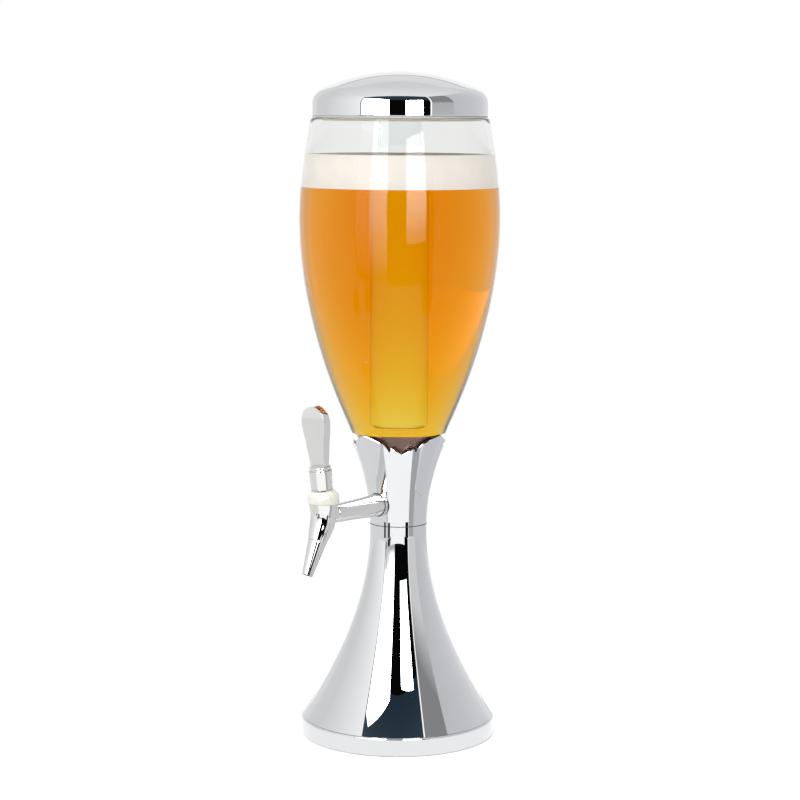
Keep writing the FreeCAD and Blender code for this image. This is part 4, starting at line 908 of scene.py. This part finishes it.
# ---- studio ----
CAMERA_AZIMUTH = math.radians(40.0)
CAMERA_PITCH = math.radians(7.355)
CAMERA_ROLL = math.radians(0.27)
CAMERA_NEAR = 1.8547
CAMERA_HEIGHT = 0.5277
TO_RIGHT = Vector((math.cos(CAMERA_AZIMUTH), math.sin(CAMERA_AZIMUTH), 0))
TO_CAMERA = Vector((math.sin(CAMERA_AZIMUTH), -math.cos(CAMERA_AZIMUTH), 0))


def studio_place(right, near, height):
    """A place in the studio from metres to the right, towards the camera and up."""
    return TO_RIGHT * right + TO_CAMERA * near + Vector((0, 0, height))


def panel(name, corners, material, camera=False, through=False):
    """A flat panel of the studio, for reflections; clear pieces or the camera see it where asked."""
    bm = bmesh.new()
    bm.faces.new([bm.verts.new(studio_place(*corner)) for corner in corners])
    mesh = bpy.data.meshes.new(name)
    bm.to_mesh(mesh)
    bm.free()
    mesh.materials.append(material)
    made = bpy.data.objects.new(name, mesh)
    bpy.context.scene.collection.objects.link(made)
    made.visible_camera = camera
    if not camera:
        made.visible_diffuse = False
        made.visible_transmission = through
        made.visible_volume_scatter = False
        made.visible_shadow = False
    return made


def glow(name, first, last=None, along=Vector((0, 0, 1)), start=0.0, end=1.0):
    """Light of one (r, g, b), or one that changes evenly to another between places on a line."""
    last = last or first
    material = bpy.data.materials.new(name)
    material.use_nodes = True
    tree = material.node_tree
    tree.nodes.clear()
    place = add(tree, "ShaderNodeTexCoord").outputs["Object"]
    run = add(tree, "ShaderNodeVectorMath", {0: place, 1: along}, operation="DOT_PRODUCT")
    share = add(tree, "ShaderNodeMapRange", {"Value": run.outputs["Value"], "From Min": start,
                                             "From Max": end})
    colour = add(tree, "ShaderNodeMix", {"Factor": share.outputs[0], 6: (*first, 1), 7: (*last, 1)},
                 data_type="RGBA", clamp_result=False)
    light = add(tree, "ShaderNodeEmission", {"Color": colour.outputs[2], "Strength": 1.0})
    add(tree, "ShaderNodeOutputMaterial", {"Surface": light.outputs[0]})
    return material


def lit(name, corners, *light, through=False, **change):
    """A panel that gives light of its own."""
    panel(name, corners, glow(name, *light, **change), through=through)


def grey(level, tint=(1, 1, 1)):
    """Colour of light at a level, neutral or with a tint."""
    return tuple(level * part for part in tint)


def rectangle(left, right, near_left, near_right, low, high):
    """Corners of an upright panel between two places."""
    return [(left, near_left, low), (right, near_right, low),
            (right, near_right, high), (left, near_left, high)]


COOL = (0.99, 0.99, 1.02)
TENT_LEFT = -1.14
TENT_RIGHT = 1.0
TENT_BACK = -1.2
TENT_TOP = 1.6
OPENING_NEAR = 0.92            # the open side, with the dark of the room in it
OPENING_RIGHT = 0.72
OPENING_MIDDLE = 0.85          # the dark is lighter above this
OPENING_TOP = 1.5
FLAP_BEND = 0.755              # the tent's flap, from its edge to the right wall
FLAP_NEAR = 0.9
FLAP_END = 0.36
RIGHT_BOX_NEAR = 0.9
LEFT_BOX_NEAR = 0.89
TABLE_BRIGHT = 1.33            # its light in front, between the softboxes

# the tent's open side, towards the camera
lit("opening_dark", rectangle(TENT_LEFT, OPENING_RIGHT, OPENING_NEAR, OPENING_NEAR,
                              0.0, OPENING_MIDDLE), grey(0.003))
lit("opening_slate", rectangle(TENT_LEFT, OPENING_RIGHT, OPENING_NEAR, OPENING_NEAR,
                               OPENING_MIDDLE, OPENING_TOP),
    (0.02, 0.035, 0.05), (0.05, 0.075, 0.1), start=OPENING_MIDDLE, end=1.4)
lit("right_softbox", [(right, RIGHT_BOX_NEAR, height) for right, height in
                      ((0.11, 0.285), (0.49, 0.285), (0.49, 0.87), (0.11, 0.80))],
    grey(4), grey(21), start=0.3, end=0.6)
lit("left_softbox", [(right, LEFT_BOX_NEAR, height) for right, height in
                     ((-0.58, 0.03), (-0.216, 0.03), (-0.216, 0.86), (-0.58, 1.06))],
    grey(0.6), grey(16), start=0.1, end=0.6)
lit("left_spill", [(right, LEFT_BOX_NEAR, height) for right, height in
                   ((-1.05, 0.07), (-0.58, 0.07), (-0.58, 1.06), (-0.86, 1.22),
                    (-1.05, 1.22))],
    grey(0.25, COOL), grey(3.0, COOL), end=0.5)
lit("flap_edge", rectangle(OPENING_RIGHT, FLAP_BEND, OPENING_NEAR, FLAP_NEAR,
                           0.0, OPENING_TOP), grey(1.5))
lit("right_flap", rectangle(FLAP_BEND, TENT_RIGHT, FLAP_NEAR, FLAP_END, 0.0, TENT_TOP),
    grey(0.85), grey(0.32), start=0.4, end=0.75)


def sector(name, first, last, inner, outer, light, height=0.001):
    """A piece of the table top between two bearings, in degrees to the right of the camera."""
    turns = [math.radians(turn) for turn in spaced(first, last, 24)]
    ring = [(inner, turn) for turn in turns] + [(outer, turn) for turn in reversed(turns)]
    lit(name, [(reach * math.sin(turn), reach * math.cos(turn), height)
               for reach, turn in ring], light)


# the table top as the mirror finish shows it: brightest in front, between the softboxes, with the
# dark of the opening reaching in beside them
sector("table_near", -180, 180, 0.084, 0.2, grey(1.2))
sector("table_front", -42, 42, 0.2, 0.92, grey(TABLE_BRIGHT))
sector("table_flap", 42, 62, 0.2, 1.0, grey(0.52, COOL))
sector("table_right", 62, 150, 0.2, 1.2, grey(0.78, COOL))
sector("table_left", -150, -42, 0.2, 1.2, grey(0.95))
sector("gap_far_left", -58, -51, 0.79, 1.1, grey(0.01), 0.002)
sector("gap_left", -42, -33, 0.79, 1.1, grey(0.01), 0.002)
sector("gap_right", 28, 40, 0.76, 1.1, grey(0.01), 0.002)
lit("table_edge", rectangle(-0.5, 0.4, 0.885, 0.885, 0.0, 0.075), grey(TABLE_BRIGHT))

# its walls, roof and back
lit("left_wall", rectangle(TENT_LEFT, TENT_LEFT, TENT_BACK, OPENING_NEAR, 0.0, TENT_TOP),
    grey(0.87), grey(1.25), TO_CAMERA, -0.4, 0.9, through=True)
lit("right_wall", rectangle(TENT_RIGHT, TENT_RIGHT, FLAP_END, TENT_BACK, 0.0, TENT_TOP),
    grey(0.88, COOL), grey(0.72, COOL), TO_CAMERA, -1.0, FLAP_END, through=True)
lit("roof", [(TENT_LEFT, TENT_BACK, TENT_TOP), (TENT_RIGHT, TENT_BACK, TENT_TOP),
             (TENT_RIGHT, OPENING_NEAR, OPENING_TOP), (TENT_LEFT, OPENING_NEAR, OPENING_TOP)],
    grey(0.84), grey(1.12), TO_CAMERA, TENT_BACK, 0.9)
lit("back_wall", rectangle(TENT_LEFT, TENT_RIGHT, -1.22, -1.22, 0.0, TENT_TOP), grey(0.93))
lit("back_sheet", rectangle(-0.6, 0.6, TENT_BACK, TENT_BACK, 0.0, 1.15), grey(1.1))
lit("back_frame", rectangle(-0.64, 0.64, -1.21, -1.21, 0.0, 1.19), grey(0.45))


def floor_sheet():
    """Pale paper with some light of its own, so that it looks white and still has its shadow."""
    material = bpy.data.materials.new("floor_sheet")
    material.use_nodes = True
    tree = material.node_tree
    tree.nodes.clear()
    rays = add(tree, "ShaderNodeLightPath")
    paper = add(tree, "ShaderNodeBsdfDiffuse", {"Color": linear("E8E8E8")})
    direct = add(tree, "ShaderNodeMath", {0: rays.outputs["Is Camera Ray"],
                                          1: rays.outputs["Is Transmission Ray"]},
                 operation="ADD", use_clamp=True)
    seen = add(tree, "ShaderNodeMath", {0: direct.outputs[0], 1: 0.3}, operation="MULTIPLY")
    mirrored = add(tree, "ShaderNodeMath", {0: rays.outputs["Is Glossy Ray"], 1: 0.25,
                                            2: seen.outputs[0]}, operation="MULTIPLY_ADD")
    light = add(tree, "ShaderNodeEmission", {"Color": (1, 1, 1, 1), "Strength": mirrored.outputs[0]})
    both = add(tree, "ShaderNodeAddShader", {0: paper.outputs[0], 1: light.outputs[0]})
    add(tree, "ShaderNodeOutputMaterial", {"Surface": both.outputs[0]})
    return material


panel("floor", [(-0.6, -1.5, 0.0), (0.75, -1.5, 0.0), (0.75, 0.85, 0.0), (-0.6, 0.85, 0.0)],
      floor_sheet(), camera=True)


def light_tent():
    """White to the camera, in the mirror and through clear pieces, and softer on all the rest."""
    world = bpy.data.worlds.new("light_tent")
    bpy.context.scene.world = world
    world.use_nodes = True
    tree = world.node_tree
    tree.nodes.clear()
    rays = add(tree, "ShaderNodeLightPath")
    direct = add(tree, "ShaderNodeMath", {0: rays.outputs["Is Camera Ray"],
                                          1: rays.outputs["Is Glossy Ray"]}, operation="ADD")
    shown = add(tree, "ShaderNodeMath", {0: direct.outputs[0],
                                         1: rays.outputs["Is Transmission Ray"]},
                operation="ADD", use_clamp=True)
    level = add(tree, "ShaderNodeMapRange", {"Value": shown.outputs[0], "To Min": 0.75,
                                             "To Max": 1.0})
    sky = add(tree, "ShaderNodeBackground", {"Color": (1, 1, 1, 1), "Strength": level.outputs[0]})
    add(tree, "ShaderNodeOutputWorld", {"Surface": sky.outputs[0]})


def lamp(name, place, size, power):
    """A large soft lamp aimed at the middle of the tower; only matt surfaces take its light."""
    data = bpy.data.lights.new(name, "AREA")
    data.size = size
    data.energy = power
    made = bpy.data.objects.new(name, data)
    made.location = studio_place(*place)
    aim = Vector((0, 0, 0.3)) - made.location
    made.rotation_euler = aim.to_track_quat("-Z", "Y").to_euler()
    made.visible_glossy = False
    made.visible_camera = False
    bpy.context.scene.collection.objects.link(made)


light_tent()
lamp("key", (-0.9, 1.1, 1.5), 1.0, 18.0)
lamp("top", (0.3, 0.5, 1.8), 1.2, 12.0)

camera_data = bpy.data.cameras.new("camera")
camera_data.lens = 99.0
camera_data.sensor_width = 36.0
camera_data.shift_x = 1.1 / 800
camera_data.clip_start = 0.05
camera_data.clip_end = 20.0
camera = bpy.data.objects.new("camera", camera_data)
bpy.context.scene.collection.objects.link(camera)
camera.location = studio_place(0, CAMERA_NEAR, CAMERA_HEIGHT)
camera.rotation_euler = (Matrix.Rotation(CAMERA_AZIMUTH, 4, "Z")
                         @ Matrix.Rotation(math.radians(90) - CAMERA_PITCH, 4, "X")
                         @ Matrix.Rotation(CAMERA_ROLL, 4, "Z")).to_euler()
bpy.context.scene.camera = camera
bpy.context.scene.view_settings.view_transform = "Standard"
